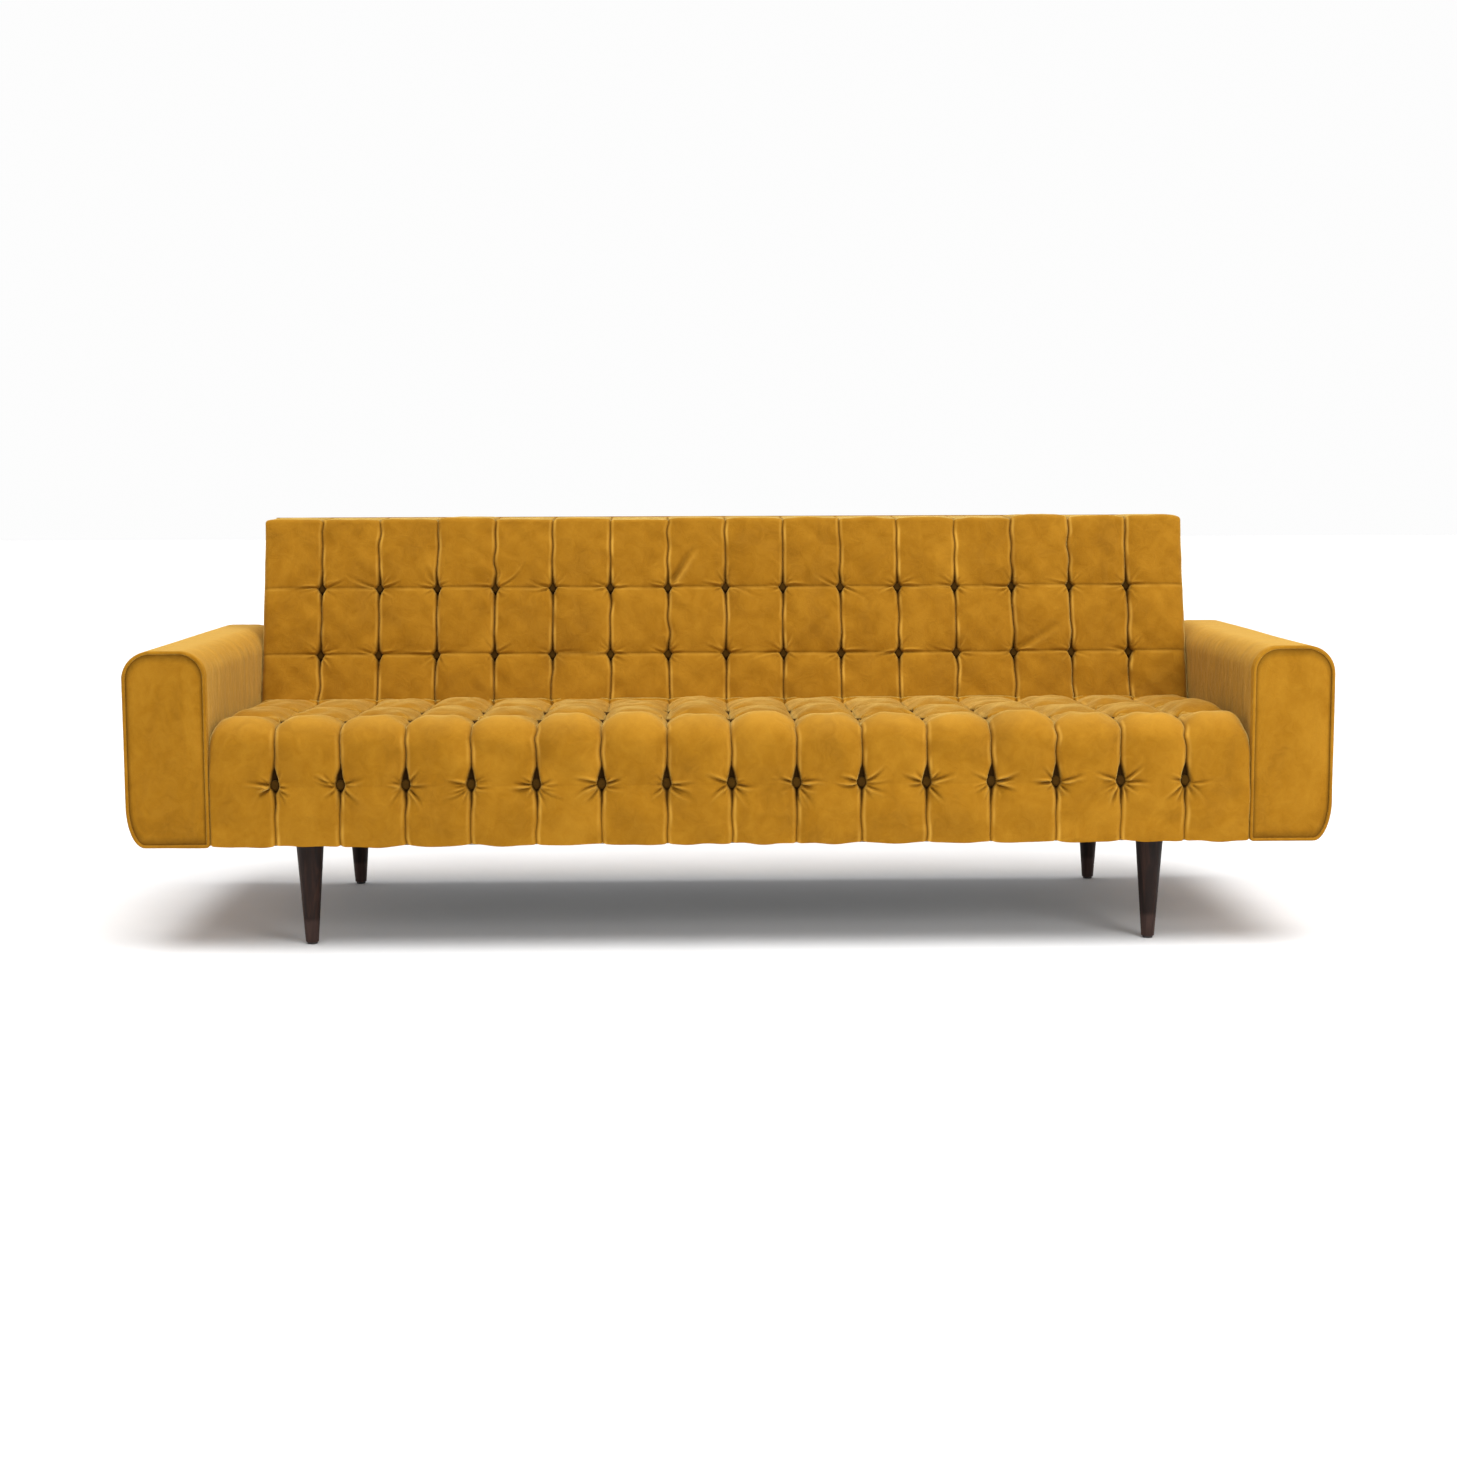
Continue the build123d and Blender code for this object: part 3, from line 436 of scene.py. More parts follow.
class Path:
    """A closed side outline, read by distance along it."""

    def __init__(self, pieces):
        points = np.concatenate(pieces)
        keep = np.r_[True, np.linalg.norm(np.diff(points, axis=0), axis=1) > 1e-6]
        self.points = points[keep]
        steps = np.linalg.norm(np.diff(np.r_[self.points, self.points[:1]], axis=0), axis=1)
        self.at = np.r_[0, np.cumsum(steps)]
        self.length = self.at[-1]

    def read(self, where):
        closed = np.r_[self.points, self.points[:1]]
        y = np.interp(where, self.at, closed[:, 0])
        z = np.interp(where, self.at, closed[:, 1])
        return np.stack([y, z], 1)

    def nearest(self, point):
        gap = np.linalg.norm(self.points - np.array(point), axis=1)
        return self.at[gap.argmin()]

    def normals(self, where, reach=0.006):
        """Outward directions, eased over corners. The path runs clockwise seen from +X."""
        ahead = self.read((where + reach) % self.length)
        behind = self.read((where - reach) % self.length)
        along = ahead - behind
        along /= np.linalg.norm(along, axis=1)[:, None]
        return np.stack([-along[:, 1], along[:, 0]], 1)


CREASE_SPAN = 0.08  # the patch round each button that its creases may cross
CREASES_MISSING = 0.2  # as a share


def crease_axes(dx, ds, turn):
    """How far points lie along a crease that leaves the origin at an angle, and beside it."""
    return dx * cos(turn) + ds * sin(turn), -dx * sin(turn) + ds * cos(turn)


def long_creases(across, along, creases):
    """Single creases, each given as its start, angle in degrees, depth, reach and width."""
    fall = np.zeros((len(across), len(along)))
    for x0, s0, angle, size, reach, width in creases:
        out, side = crease_axes((across - x0)[:, None], (along - s0)[None, :], radians(angle))
        fade = ease((out - 0.004) / 0.02) * np.clip(1 - out / reach, 0, 1) ** 0.8
        fall += size * fade * (bell(side, width) - 0.6 * bell(side + 2 * width, width))
    return fall


def fanned_creases(across, along, buttons, strokes, rng):
    """Short creases that fan out of each button: a valley with a low ridge beside it.

    Each stroke is an angle in degrees, its depth and its reach, and is mirrored.
    """
    fall = np.zeros((len(across), len(along)))
    mirrored = strokes + [(180 - angle, size, reach) for angle, size, reach in strokes]
    for x0, s0 in buttons:
        near_x = np.abs(across - x0) < CREASE_SPAN
        near_s = np.abs(along - s0) < CREASE_SPAN
        dx = (across[near_x] - x0)[:, None]
        ds = (along[near_s] - s0)[None, :]
        patch = np.zeros((dx.shape[0], ds.shape[1]))
        for angle, size, reach in mirrored:
            if rng.random() < CREASES_MISSING:
                continue
            out, side = crease_axes(dx, ds, radians(angle + rng.normal(0, 8)))
            side += rng.normal(0, 3.5) * out**2
            length = reach * rng.uniform(0.6, 1.3)
            rise = ease((out - 0.006) / 0.010)
            fade = np.clip(1 - out / length, 0, 1) ** 1.2
            width = 0.0017 + 0.032 * np.clip(out, 0, 1)
            depth = size * rng.uniform(0.5, 1.4) * rise * fade
            hand = rng.choice((-1, 1))
            patch += depth * (bell(side, width) - 0.7 * bell(side - hand * 1.9 * width, width))
        fall[np.ix_(near_x, near_s)] += patch
    return fall


def ripples(x, s, size, rng):
    """Low, broad unevenness of a stuffed surface."""
    field = np.zeros((len(x), len(s)))
    for _ in range(14):
        kx, ks = rng.uniform(20, 110, 2) * rng.choice((-1, 1), 2)
        field += np.sin(kx * x[:, None] + ks * s[None, :] + rng.uniform(0, 2 * pi))
    return field * size / 3


def end_caps(grid, inner, rings=6):
    """Add rings that close both ends of a grid of closed rows towards an inner point."""
    low, high = grid[0], grid[-1]
    shares = np.linspace(0, 1, rings + 2)[1:-1] ** 1.2
    centre = np.array(inner)
    before, after = [], []
    for share in shares:
        for ring, into in ((low, before), (high, after)):
            moved = ring.copy()
            moved[:, 1:] = ring[:, 1:] * (1 - share) + centre * share
            into.append(moved)
    grid = np.concatenate([np.array(before[::-1]), grid, np.array(after)])
    tips = np.array([[low[:, 0].mean(), *inner], [high[:, 0].mean(), *inner]])
    return grid, tips


END_SHARE = 0.6  # of the last column, over which its own crown rises
FOOT_EASE = 0.05  # near the foot of a pad, where tufts are all alike
CLOSED = 0.4  # faces with more painted shade than this are the inside of a pleat or pit, and take the velvet without sheen
KNOT_SIZES = ("crown", "pleat", "roll", "fold", "swell", "shown", "end_crown")


# The looks of a tufted pad are:
#   across, stops: points across a tuft; and along the outline (from, to, count, gathering)
#   knots: sizes at distances along the outline (KNOT_SIZES), read off between them
#   before, after: where the zones outside the first and last button rows end
#   pit, hole, hole_power: a button pit's depth, its (width, reach up, reach down) and shape
#   pull, lip, round: reach of a button on its pleats, a pleat's width, a tuft's roundness
#   fold_width, left_end: a button row's fold, and the crown at the left end as a share
#   strokes, single: the fanned creases, and the long ones as (column, row, then its looks)
#   uneven, step, ripple, wander: sizes of the random variation
#   shade, rim, rim_light, rim_row: the painted shade of a pleat, and the painted highlight beside
#       it and below a button row
#   crest_highlight: a painted highlight along the crest or top edge, as (distance, width, light)
#   ends: a function that gives the radius of the pad's ends
class Tufting:
    """How the points of a tufted pad lie between its pleats and its button rows.

    x runs across the pad and s along its side outline. lines are the button rows, as
    distances along the outline. Every method gives a value for each point of x and s.
    """

    def __init__(self, lines, half_width, looks):
        self.lines, self.half_width, self.looks = lines, half_width, looks
        self.pitch = 2 * half_width / COLUMNS
        self.rng = np.random.default_rng(looks["seed"])
        cell = gathered(looks["across"])[:-1]
        self.x = np.append((np.arange(COLUMNS)[:, None] + cell).ravel(), COLUMNS) * self.pitch
        spans = [
            low + (high - low) * gathered(count, share)[:-1]
            for low, high, count, share in looks["stops"]
        ]
        self.s = np.concatenate(spans)
        # across: distance to the nearest pleat (the ends have none), and place in the tuft
        self.column = self.x / self.pitch
        nearest = np.clip(np.rint(self.column), 1, COLUMNS - 1)
        self.to_pleat = (self.x - nearest * self.pitch)[:, None]
        self.off_middle = np.abs(self.column % 1 * 2 - 1)[:, None]
        self.on_left = (self.x < half_width)[:, None]
        # along: distance to the nearest button row, and place between two rows
        gaps = self.s[:, None] - np.array(lines)
        self.to_row = gaps[np.arange(len(self.s)), np.abs(gaps).argmin(1)]
        zones = np.array([looks["before"], *lines, looks["after"]])
        self.zone = np.clip(np.searchsorted(zones, self.s) - 1, 0, len(lines))
        low, high = zones[self.zone], zones[self.zone + 1]
        self.off_row = np.minimum(np.abs(self.s - (low + high) / 2) / (high - low) * 2, 1)
        knots, *values = np.array(looks["knots"]).T
        for key, value in zip(KNOT_SIZES, values):
            setattr(self, key, np.interp(self.s, knots, value))

    def pulled_in(self):
        """How far the pleats, the button rows and the button pits pull the cover in."""
        looks, m = self.looks, self.off_middle
        u, v = np.abs(self.to_pleat), np.abs(self.to_row)[None, :]
        at_end = ease(np.abs(self.column - COLUMNS / 2) - COLUMNS / 2 + END_SHARE)[:, None]
        at_end = at_end * np.where(self.on_left, looks["left_end"], 1)
        near = bell(v, looks["pull"])
        lip = looks["lip"] * (1 + 0.8 * near) * np.where(self.to_pleat < 0, 0.8, 1.2)
        self.slit = self.pleat + (looks["pit"] - self.crown - self.pleat) * 0.8 * near * self.shown
        crown = (self.crown + self.end_crown * at_end) * m ** looks["round"]
        across = crown + self.slit * round_over(u, lip)
        fold = self.fold * (0.3 + 0.7 * bell(u, 0.03))
        along = self.roll * self.off_row[None, :] ** 2.6 + fold * round_over(v, looks["fold_width"])
        both = (across**3 + along**3) ** (1 / 3)
        wide, above, below = looks["hole"]
        reach = np.where(self.to_row > 0, above, below)[None, :]
        power = looks["hole_power"]
        hole = ((u / wide) ** power + (v / reach) ** power) ** (1 / power)
        self.pit = looks["pit"] * ease(1.62 - hole) * self.shown
        return np.minimum((both**4 + self.pit**4) ** 0.25, looks["pit"] + 0.001)

    def creases(self):
        """Valleys and ridges of the cloth round the buttons, and a few long ones."""
        buttons = [(k * self.pitch, row) for k in range(1, COLUMNS) for row in self.lines]
        single = [
            (k * self.pitch, self.lines[row], *rest) for k, row, *rest in self.looks["single"]
        ]
        field = long_creases(self.x, self.s, single)
        field += fanned_creases(self.x, self.s, buttons, self.looks["strokes"], self.rng)
        return field * self.shown

    def stuffing(self):
        """Unevenness: each tuft is stuffed a little differently, and stands higher or lower."""
        looks, rng, m = self.looks, self.rng, self.off_middle
        fall = ripples(self.x, self.s, looks["ripple"], rng) * self.shown
        fall -= self.swell * (1 - m**2.4) * (1 - self.off_row[None, :] ** 2.4)
        for c in range(COLUMNS):
            here = (self.column >= c) & (self.column < c + 1)
            fall[here] += rng.normal(0, looks["step"]) * (1 - m[here] ** 8) * self.shown
            for z in range(len(self.lines) + 1):
                inside = (self.zone == z) & (self.shown > 0.5)
                middle = np.outer(1 - m[here, 0] ** 2, 1 - self.off_row[inside] ** 2)
                size = rng.normal(0, looks["uneven"])
                fall[np.ix_(here, inside)] += size * middle * ease(self.s[inside] / FOOT_EASE)
        return fall

    def ends(self):
        """The rounding of the pad's two ends."""
        gap = np.minimum(self.x, 2 * self.half_width - self.x)[:, None]
        radius = self.looks["ends"](self.s[None, :], self.on_left)
        return radius * round_over(gap, radius)

    def wander(self):
        """How far the pleats stray sideways between their buttons."""
        loose = (1 - bell(self.to_row, 0.025)) * self.shown
        shift = np.zeros((len(self.x), len(self.s)))
        for k in range(1, COLUMNS):
            drift = smooth_noise(len(self.s), 9, self.looks["wander"], self.rng) * loose
            shift += np.clip(1 - np.abs(self.column - k), 0, 1)[:, None] * drift[None, :]
        return shift

    def shades(self, creases):
        """The painted shade of closed pleats, pits, crease valleys and button-row folds, and the
        painted highlight beside pleats, below button rows, on crease ridges and along the crest or
        top edge.
        """
        looks, rim = self.looks, self.looks["rim"]
        u, v = np.abs(self.to_pleat), np.abs(self.to_row)[None, :]
        # painted shade: pleats, button pits, crease valleys and button-row folds darkened in the
        # colour
        narrow = bell(u, 0.0017 + 0.0035 * bell(v, 0.03))
        dark = np.clip(self.slit / 0.010, 0, 1) * narrow * looks["shade"]
        dark = np.maximum(dark, np.clip(self.pit / looks["pit"] * 2.0 - 0.8, 0, 0.97)) * self.shown
        dark = np.maximum(dark, np.clip(creases / 0.016, 0, 0.3))
        dark = np.maximum(dark, np.clip(self.fold / 0.006, 0, 1) * bell(v, 0.0032) * 0.6)
        # painted highlight beside each pleat, stronger to its right, and below each button row
        beside = np.where(self.to_pleat > 0, 1.0, 0.45) * bell(u - rim, rim * 0.5)
        below = looks["rim_row"] * bell(v - rim, rim * 0.5) * (self.to_row < 0)[None, :]
        # the painted highlights' strength, varying at random from place to place
        rubbed = np.clip(0.62 + 0.38 * ripples(self.x, self.s, 1, self.rng), 0.1, 1)
        pale = np.maximum(beside, below) * looks["rim_light"] * rubbed * self.shown
        # painted highlight on the crease ridges
        pale = np.maximum(pale, np.clip(-creases / 0.012, 0, 0.35))
        # painted highlight along the crest or top edge
        place, width, light = looks["crest_highlight"]
        crest_highlight = light * bell(self.s[None, :] - place, width) * (1 - 0.6 * self.off_middle**2)
        return {"slit": dark, "rim": np.maximum(pale, crest_highlight)}


def tufted(name, path, lines, half_width, looks, inner):
    """A closed, tufted pad: a side outline drawn right across, and pulled in at its pleats.

    Each point falls inwards from the outline by its pleats, its button pit, its creases,
    its stuffing and its end. inner is where both ends are closed.
    """
    layout = Tufting(lines, half_width, looks)
    x, s = layout.x, layout.s
    fall = layout.pulled_in()
    creases = layout.creases()
    fall += creases
    fall += layout.stuffing()
    fall += layout.ends()
    shift = layout.wander()
    base, out = path.read(s), path.normals(s)
    grid = np.stack([
        x[:, None] - half_width + shift,
        base[None, :, 0] - out[None, :, 0] * fall,
        base[None, :, 1] - out[None, :, 1] * fall,
    ], 2)
    grid, tips = end_caps(grid, inner)
    rings = (len(grid) - len(x)) // 2
    values = {}
    for key, shade in layout.shades(creases).items():
        spread = np.zeros((len(grid), len(s)))
        spread[rings:-rings] = shade
        values[key] = np.append(spread.ravel(), [0, 0])
    points = np.concatenate([grid.reshape(-1, 3), tips])
    faces = loft_faces(len(s), len(grid))
    pad = mesh_object(name, points, faces, velvet_body, **values)
    # faces deep in painted shade take the velvet without sheen, so the painted shade stays dark
    pad.data.materials.append(velvet_painted_shade)
    closed = [int(values["slit"][list(face)].mean() > CLOSED) for face in faces]
    pad.data.polygons.foreach_set("material_index", closed)
    return pad


# --- Seat ---------------------------------------------------------------------------------
SEAT_CREST_RADIUS = 0.055
SEAT_FALL = 0.016  # of the seat's top, from its crest to the back
seat_low, seat_high = (Vector(corner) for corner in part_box("seat_cover"))
front_low, front_high = (Vector(corner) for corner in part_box("seat_front_buttons"))
top_low, top_high = (Vector(corner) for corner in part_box("seat_top_buttons"))


def build_seat():
    """The one-piece seat: its front face, its crest and its top as far as the back."""
    y0, y1 = seat_low.y, seat_high.y
    z0, z1 = seat_low.z, seat_high.z
    r = SEAT_CREST_RADIUS
    rear_top = (y1 + 0.004, z1 - SEAT_FALL)
    rear_foot = (y1 - 0.03, z0 + 0.11)
    path = Path([
        line((y0 + 0.006, z0 - 0.001), (y0, z0 + 0.06), 12),
        line((y0, z0 + 0.06), (y0, z1 - r), 30),
        arc((y0 + r, z1 - r), r, 180, 90),
        line((y0 + r, z1), rear_top, 90),
        line(rear_top, rear_foot, 10),
        line(rear_foot, (y0 + 0.04, z0 + 0.13), 20),
        line((y0 + 0.04, z0 + 0.13), (y0 + 0.036, z0), 10),
        line((y0 + 0.036, z0), (y0 + 0.006, z0 - 0.001), 6),
    ])
    slope = (rear_top[1] - z1) / (rear_top[0] - y0 - r)

    def on_top(y):
        return path.nearest((y, z1 + slope * (y - y0 - r)))

    front = path.nearest((y0, (front_low.z + front_high.z) / 2))
    first_y, last_y = top_low.y + 0.011, top_high.y - 0.009
    lines = [front, on_top(first_y), on_top(last_y)]
    end = path.nearest(rear_top)
    crest = path.nearest((y0, z1 - r))
    stops = [
        (0, front, 38, 0.6),
        (front, lines[1], 84, 0.45),
        (lines[1], lines[2], 48, 0.65),
        (lines[2], end, 40, 0.5),
        (end, path.length, 24, 0.1),
    ]
    knots = [
        (0, 0.004, 0.004, 0.003, 0, 0, 1, 0),
        (front, 0.011, 0.005, 0.004, 0.0002, 0, 1, -0.006),
        (crest - 0.02, 0.016, 0.006, 0.006, 0.001, 0, 1, -0.004),
        (crest + 0.05, 0.022, 0.005, 0.016, 0.006, -0.001, 1, 0.008),
        (lines[1], 0.020, 0.004, 0.018, 0.006, 0.004, 1, 0.010),
        (lines[2], 0.019, 0.004, 0.016, 0.006, 0.003, 1, 0.008),
        (end - 0.01, 0.014, 0.004, 0.008, 0.002, 0.001, 1, 0.004),
        (end + 0.01, 0, 0, 0, 0, 0, 0, 0),
        (path.length - 0.01, 0, 0, 0, 0, 0, 0, 0),
        (path.length, 0.004, 0.004, 0.003, 0, 0, 1, 0),
    ]

    def ends(s, on_left):
        """A small radius down the front face, and a broader one over the crest and top."""
        broad = np.where(on_left, 0.010, 0.023)
        return np.where(s > end, 0.012, 0.007 + broad * ease((s - crest + 0.03) / 0.08))

    strokes = [
        (7, 0.0105, 0.050), (-9, 0.0090, 0.046), (23, 0.0105, 0.046), (41, 0.0075, 0.036),
        (-27, 0.0105, 0.046), (-48, 0.0115, 0.052), (-68, 0.0080, 0.042),
    ]
    looks = dict(
        across=56, stops=stops, knots=knots, seed=3, before=-front * 0.5, after=end + 0.03,
        pit=0.0245, hole=(0.0092, 0.038, 0.016), hole_power=1.2, pull=0.034, lip=0.009,
        round=2.4, fold_width=0.014, left_end=0.3, strokes=strokes, single=[],
        uneven=0.0026, step=0.0006, ripple=0.0010, wander=0.0011,
        # painted shade of the pleats, and painted highlights beside them and along the crest
        shade=0.8, rim=0.0058, rim_light=0.6, rim_row=0.0, crest_highlight=(crest + 0.075, 0.035, 0.3),
        ends=ends,
    )
    return tufted("seat_tufts", path, lines, seat_high.x, looks, ((y0 + y1) / 2, z0 + 0.16))


seat = build_seat()
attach(seat, "root")
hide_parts("seat_cover", "seat_foam")


# --- Back -----------------------------------------------------------------------------------
BACK_EDGE_RADIUS = 0.012
BACK_REAR_RADIUS = 0.004
BACK_SUNK = 0.022  # how far the back's buttons lie below its outline
BACK_BUTTON_RADIUS = 0.0115
back_low, back_high = (Vector(corner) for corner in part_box("back_cover"))
row_low, row_high = (Vector(corner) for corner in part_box("back_buttons"))


def build_back():
    """The leaning back: three shown rows of tufts, whose pleats run over its top edge."""
    y0, y1 = back_low.y, back_high.y
    z0, z1 = back_low.z, back_high.z
    across = (-cos(LEAN), sin(LEAN))
    up = (sin(LEAN), cos(LEAN))
    height = (z1 - z0) / cos(LEAN)
    foot = np.array((y0, z0))
    top_front = foot + height * np.array(up)
    # the arc joins the face to the flat top
    r, rear_r = BACK_EDGE_RADIUS, BACK_REAR_RADIUS
    tangent = r * np.tan(radians(90 - LEAN_DEGREES) / 2)
    corner_centre = (top_front[0] + tangent, z1 - r)
    path = Path([
        line(foot, top_front - tangent * np.array(up), 160),
        arc(corner_centre, r, 180 - LEAN_DEGREES, 90, 16),
        line((corner_centre[0], z1), (y1 - rear_r, z1), 30),
        arc((y1 - rear_r, z1 - rear_r), rear_r, 90, 2, 5),
        line((y1, z1 - rear_r), (y1 - 0.012, z0), 20),
        line((y1 - 0.012, z0), foot, 20),
    ])
    lines = []
    for z in (row_low.z + BACK_BUTTON_RADIUS, row_high.z - BACK_BUTTON_RADIUS):
        share = (z + BACK_SUNK * across[1] - z0) / (z1 - z0)
        lines.append(path.nearest(foot + share * height * np.array(up)))
    edge = path.nearest((corner_centre[0], z1))
    rear = path.nearest((y1 - rear_r, z1))
    gap = lines[1] - lines[0]
    stops = [
        (0, lines[0], 56, 0.4),
        (lines[0], lines[1], 48, 0.65),
        (lines[1], edge, 56, 0.5),
        (edge, rear, 22, 0.4),
        (rear, path.length, 24, 0.1),
    ]
    knots = [
        (0, 0.005, 0.005, 0.003, 0.003, 0, 1, 0.002),
        (lines[0], 0.008, 0.007, 0.005, 0.0022, 0.001, 1, 0.002),
        (lines[1], 0.008, 0.007, 0.005, 0.0022, 0.001, 1, 0.002),
        (edge - 0.04, 0.005, 0.006, 0.002, 0, 0.001, 1, 0.002),
        (edge + 0.01, 0.003, 0.005, 0, 0, 0, 0.7, 0.002),
        (rear - 0.01, 0.001, 0.003, 0, 0, 0, 0.3, 0),
        (rear + 0.01, 0, 0, 0, 0, 0, 0, 0),
        (path.length - 0.01, 0, 0, 0, 0, 0, 0, 0),
        (path.length, 0.005, 0.005, 0.003, 0.003, 0, 1, 0.002),
    ]

    def ends(s, _on_left):
        """Alike at both ends, and tighter towards the top edge."""
        return np.where(s > rear, 0.004, 0.011 - 0.006 * bell(s - edge, 0.04))

    strokes = [
        (1, 0.0052, 0.062), (30, 0.0036, 0.038), (-26, 0.0042, 0.040), (64, 0.0040, 0.042),
        (-58, 0.0032, 0.032),
    ]
    single = [
        (7, 1, 57, 0.0085, 0.105, 0.006),
        (13, 0, 32, 0.0035, 0.13, 0.006),
        (3, 1, 118, 0.003, 0.07, 0.005),
    ]
    looks = dict(
        across=50, stops=stops, knots=knots, seed=5, before=lines[0] - gap, after=edge + 0.06,
        pit=0.0245, hole=(0.0088, 0.0105, 0.017), hole_power=1.0, pull=0.020, lip=0.0072,
        round=3.0, fold_width=0.007, left_end=1, strokes=strokes, single=single,
        uneven=0.0012, step=0.0024, ripple=0.0008, wander=0.0016,
        # painted shade of the pleats, and painted highlights beside them, below the button rows and
        # along the top edge
        shade=0.75, rim=0.0050, rim_light=0.8, rim_row=0.24, crest_highlight=(edge, 0.006, 0.4),
        ends=ends,
    )
    inner = ((y0 + y1) / 2 + 0.06, (z0 + z1) / 2 + 0.04)
    return tufted("back_tufts", path, lines, back_high.x, looks, inner)


back = build_back()
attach(back, "root")
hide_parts("back_cover", "back_foam")


# --- Arms ---------------------------------------------------------------------------------
ARM_INNER_RADIUS, ARM_OUTER_RADIUS, ARM_FOOT_RADIUS = 0.050, 0.055, 0.008
ARM_SWEEP = (0.035, 0.080)
CORNER_POINTS, FOOT_POINTS = 20, 6
POINT_GAP = 0.012
ARM_TOP_LIGHT = 0.4  # painted highlight: how much lighter the arms' upward-facing tops are painted
# painted shade in the seam grooves round each panel
GROOVE_PAINTED_SHADE = 0.4
PANEL_CROWN = 0.004  # how far a panel swells past the arm's end
PANEL_INSET = 0.0072  # its edge lies this far inside the outline, under the piping
PANEL_PROUD = 0.0006
WELT = ((0.0066, -0.0005), (0.0017, -0.0005), (0.0010, 0.002), (0.0, 0.005))  # inset, depth
PIPING = 0.0032
PIPING_INSET, PIPING_PROUD = 0.0034, 0.0029  # of its middle line
PIPING_WOBBLE = 0.00022
PIPING_POINTS = 12


def arm_loop(low, high, side):
    """The arm's front outline, from its inner foot, up, over and down the outside."""
    inner_x, outer_x = (low.x, high.x) if side > 0 else (high.x, low.x)
    foot, inner, outer = ARM_FOOT_RADIUS, ARM_INNER_RADIUS, ARM_OUTER_RADIUS
    wide, tall = ARM_SWEEP
    corners = [
        (inner_x + side * foot, low.z + foot, foot, foot, 270, 180, FOOT_POINTS),
        (inner_x + side * inner, high.z - inner, inner, inner, 180, 90, CORNER_POINTS),
        (outer_x - side * outer, high.z - outer, outer, outer, 90, 0, CORNER_POINTS),
        (outer_x - side * wide, low.z + tall, wide, tall, 360, 270, CORNER_POINTS),
    ]
    curves = []
    for x, z, radius_x, radius_z, start, end, count in corners:
        turn = np.radians(np.linspace(start, end, count))
        xs, zs = x + side * radius_x * np.cos(turn), z + radius_z * np.sin(turn)
        curves.append(np.stack([xs, zs], 1))
    loop = []
    for curve, following in zip(curves, curves[1:] + curves[:1]):
        loop.append(curve)
        gap = np.linalg.norm(following[0] - curve[-1])
        extra = max(int(gap / POINT_GAP), 1)
        loop.append(line(curve[-1], following[0], extra + 1)[1:-1])
    return np.concatenate(loop)


def loop_normals(loop, side):
    """Outward directions at the points of an arm's outline."""
    along = np.roll(loop, -1, 0) - np.roll(loop, 1, 0)
    along /= np.linalg.norm(along, axis=1)[:, None]
    return np.stack([-along[:, 1], along[:, 0]], 1) * side


def build_arm(hand, side):
    """A padded box arm: its wrapped cover, and panels set inside the piping."""
    low, high = (Vector(corner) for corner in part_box(f"arm_cover_{hand}"))
    loop = arm_loop(low, high, side)
    out = loop_normals(loop, side)
    centre = np.array([(low.x + high.x) / 2, (low.z + high.z) / 2])
    rng = np.random.default_rng(21 if side > 0 else 22)
    y_front, y_rear = low.y, high.y
    crowned = [
        (share, PANEL_CROWN * (1 - share**6) + PANEL_PROUD) for share in np.linspace(0.04, 1, 12)
    ]
    stations = [(share, PANEL_INSET, y_front - depth) for share, depth in crowned]
    stations += [(1, inset, y_front + depth) for inset, depth in WELT]
    stations += [(1, 0.0, y) for y in np.linspace(y_front + 0.012, y_rear - 0.012, 74)]
    stations += [(1, inset, y_rear - depth) for inset, depth in WELT[::-1]]
    stations += [(share, PANEL_INSET, y_rear + depth) for share, depth in crowned[::-1]]
    count = len(loop)
    around = np.arange(count) / count * 2 * pi
    grid = np.zeros((len(stations), count, 3))
    waves = [
        (rng.integers(1, 7), rng.uniform(2, 9), rng.uniform(0, 6.3), rng.uniform(0.0002, 0.0006))
        for _ in range(9)
    ]
    for row, (share, inset, y) in enumerate(stations):
        ring = loop - out * inset
        if share < 1:
            ring = centre + (ring - centre) * share
        elif inset == 0:
            # the cover is 2 mm thick, so it may not sink as far as the boards under it
            depth = (y - y_front) / (y_rear - y_front)
            soft = sum(size * np.sin(n * around + f * depth + p) for n, f, p, size in waves)
            ring = ring + out * np.clip(0.6 * soft, -0.0007, 0.0006)[:, None]
        grid[row, :, 0] = ring[:, 0]
        grid[row, :, 1] = y
        grid[row, :, 2] = ring[:, 1]
    proud = PANEL_CROWN + PANEL_PROUD
    tips = [(centre[0], y, centre[1]) for y in (y_front - proud, y_rear + proud)]
    points = np.concatenate([grid.reshape(-1, 3), tips])
    faces = loft_faces(count, len(stations))
    if side > 0:
        faces = [face[::-1] for face in faces]
    # painted shade in the seam grooves
    groove = [GROOVE_PAINTED_SHADE if share == 1 and inset > 0.001 else 0 for share, inset, y in stations]
    wrapped = [inset == 0 for share, inset, y in stations]
    # painted highlight on the wrapped cover, the more it faces up
    top = np.clip(out[:, 1], 0, 1) ** 2 * ARM_TOP_LIGHT
    slit = np.append(np.outer(groove, np.ones(count)), [0, 0])
    rim = np.append(np.outer(wrapped, top), [0, 0])
    arm = mesh_object(f"arm_{hand}", points, faces, velvet_arm, slit=slit, rim=rim)
    arm.data.materials.append(velvet_panel)
    for polygon in arm.data.polygons:
        if not y_front < polygon.center.y < y_rear:
            polygon.material_index = 1
    return arm


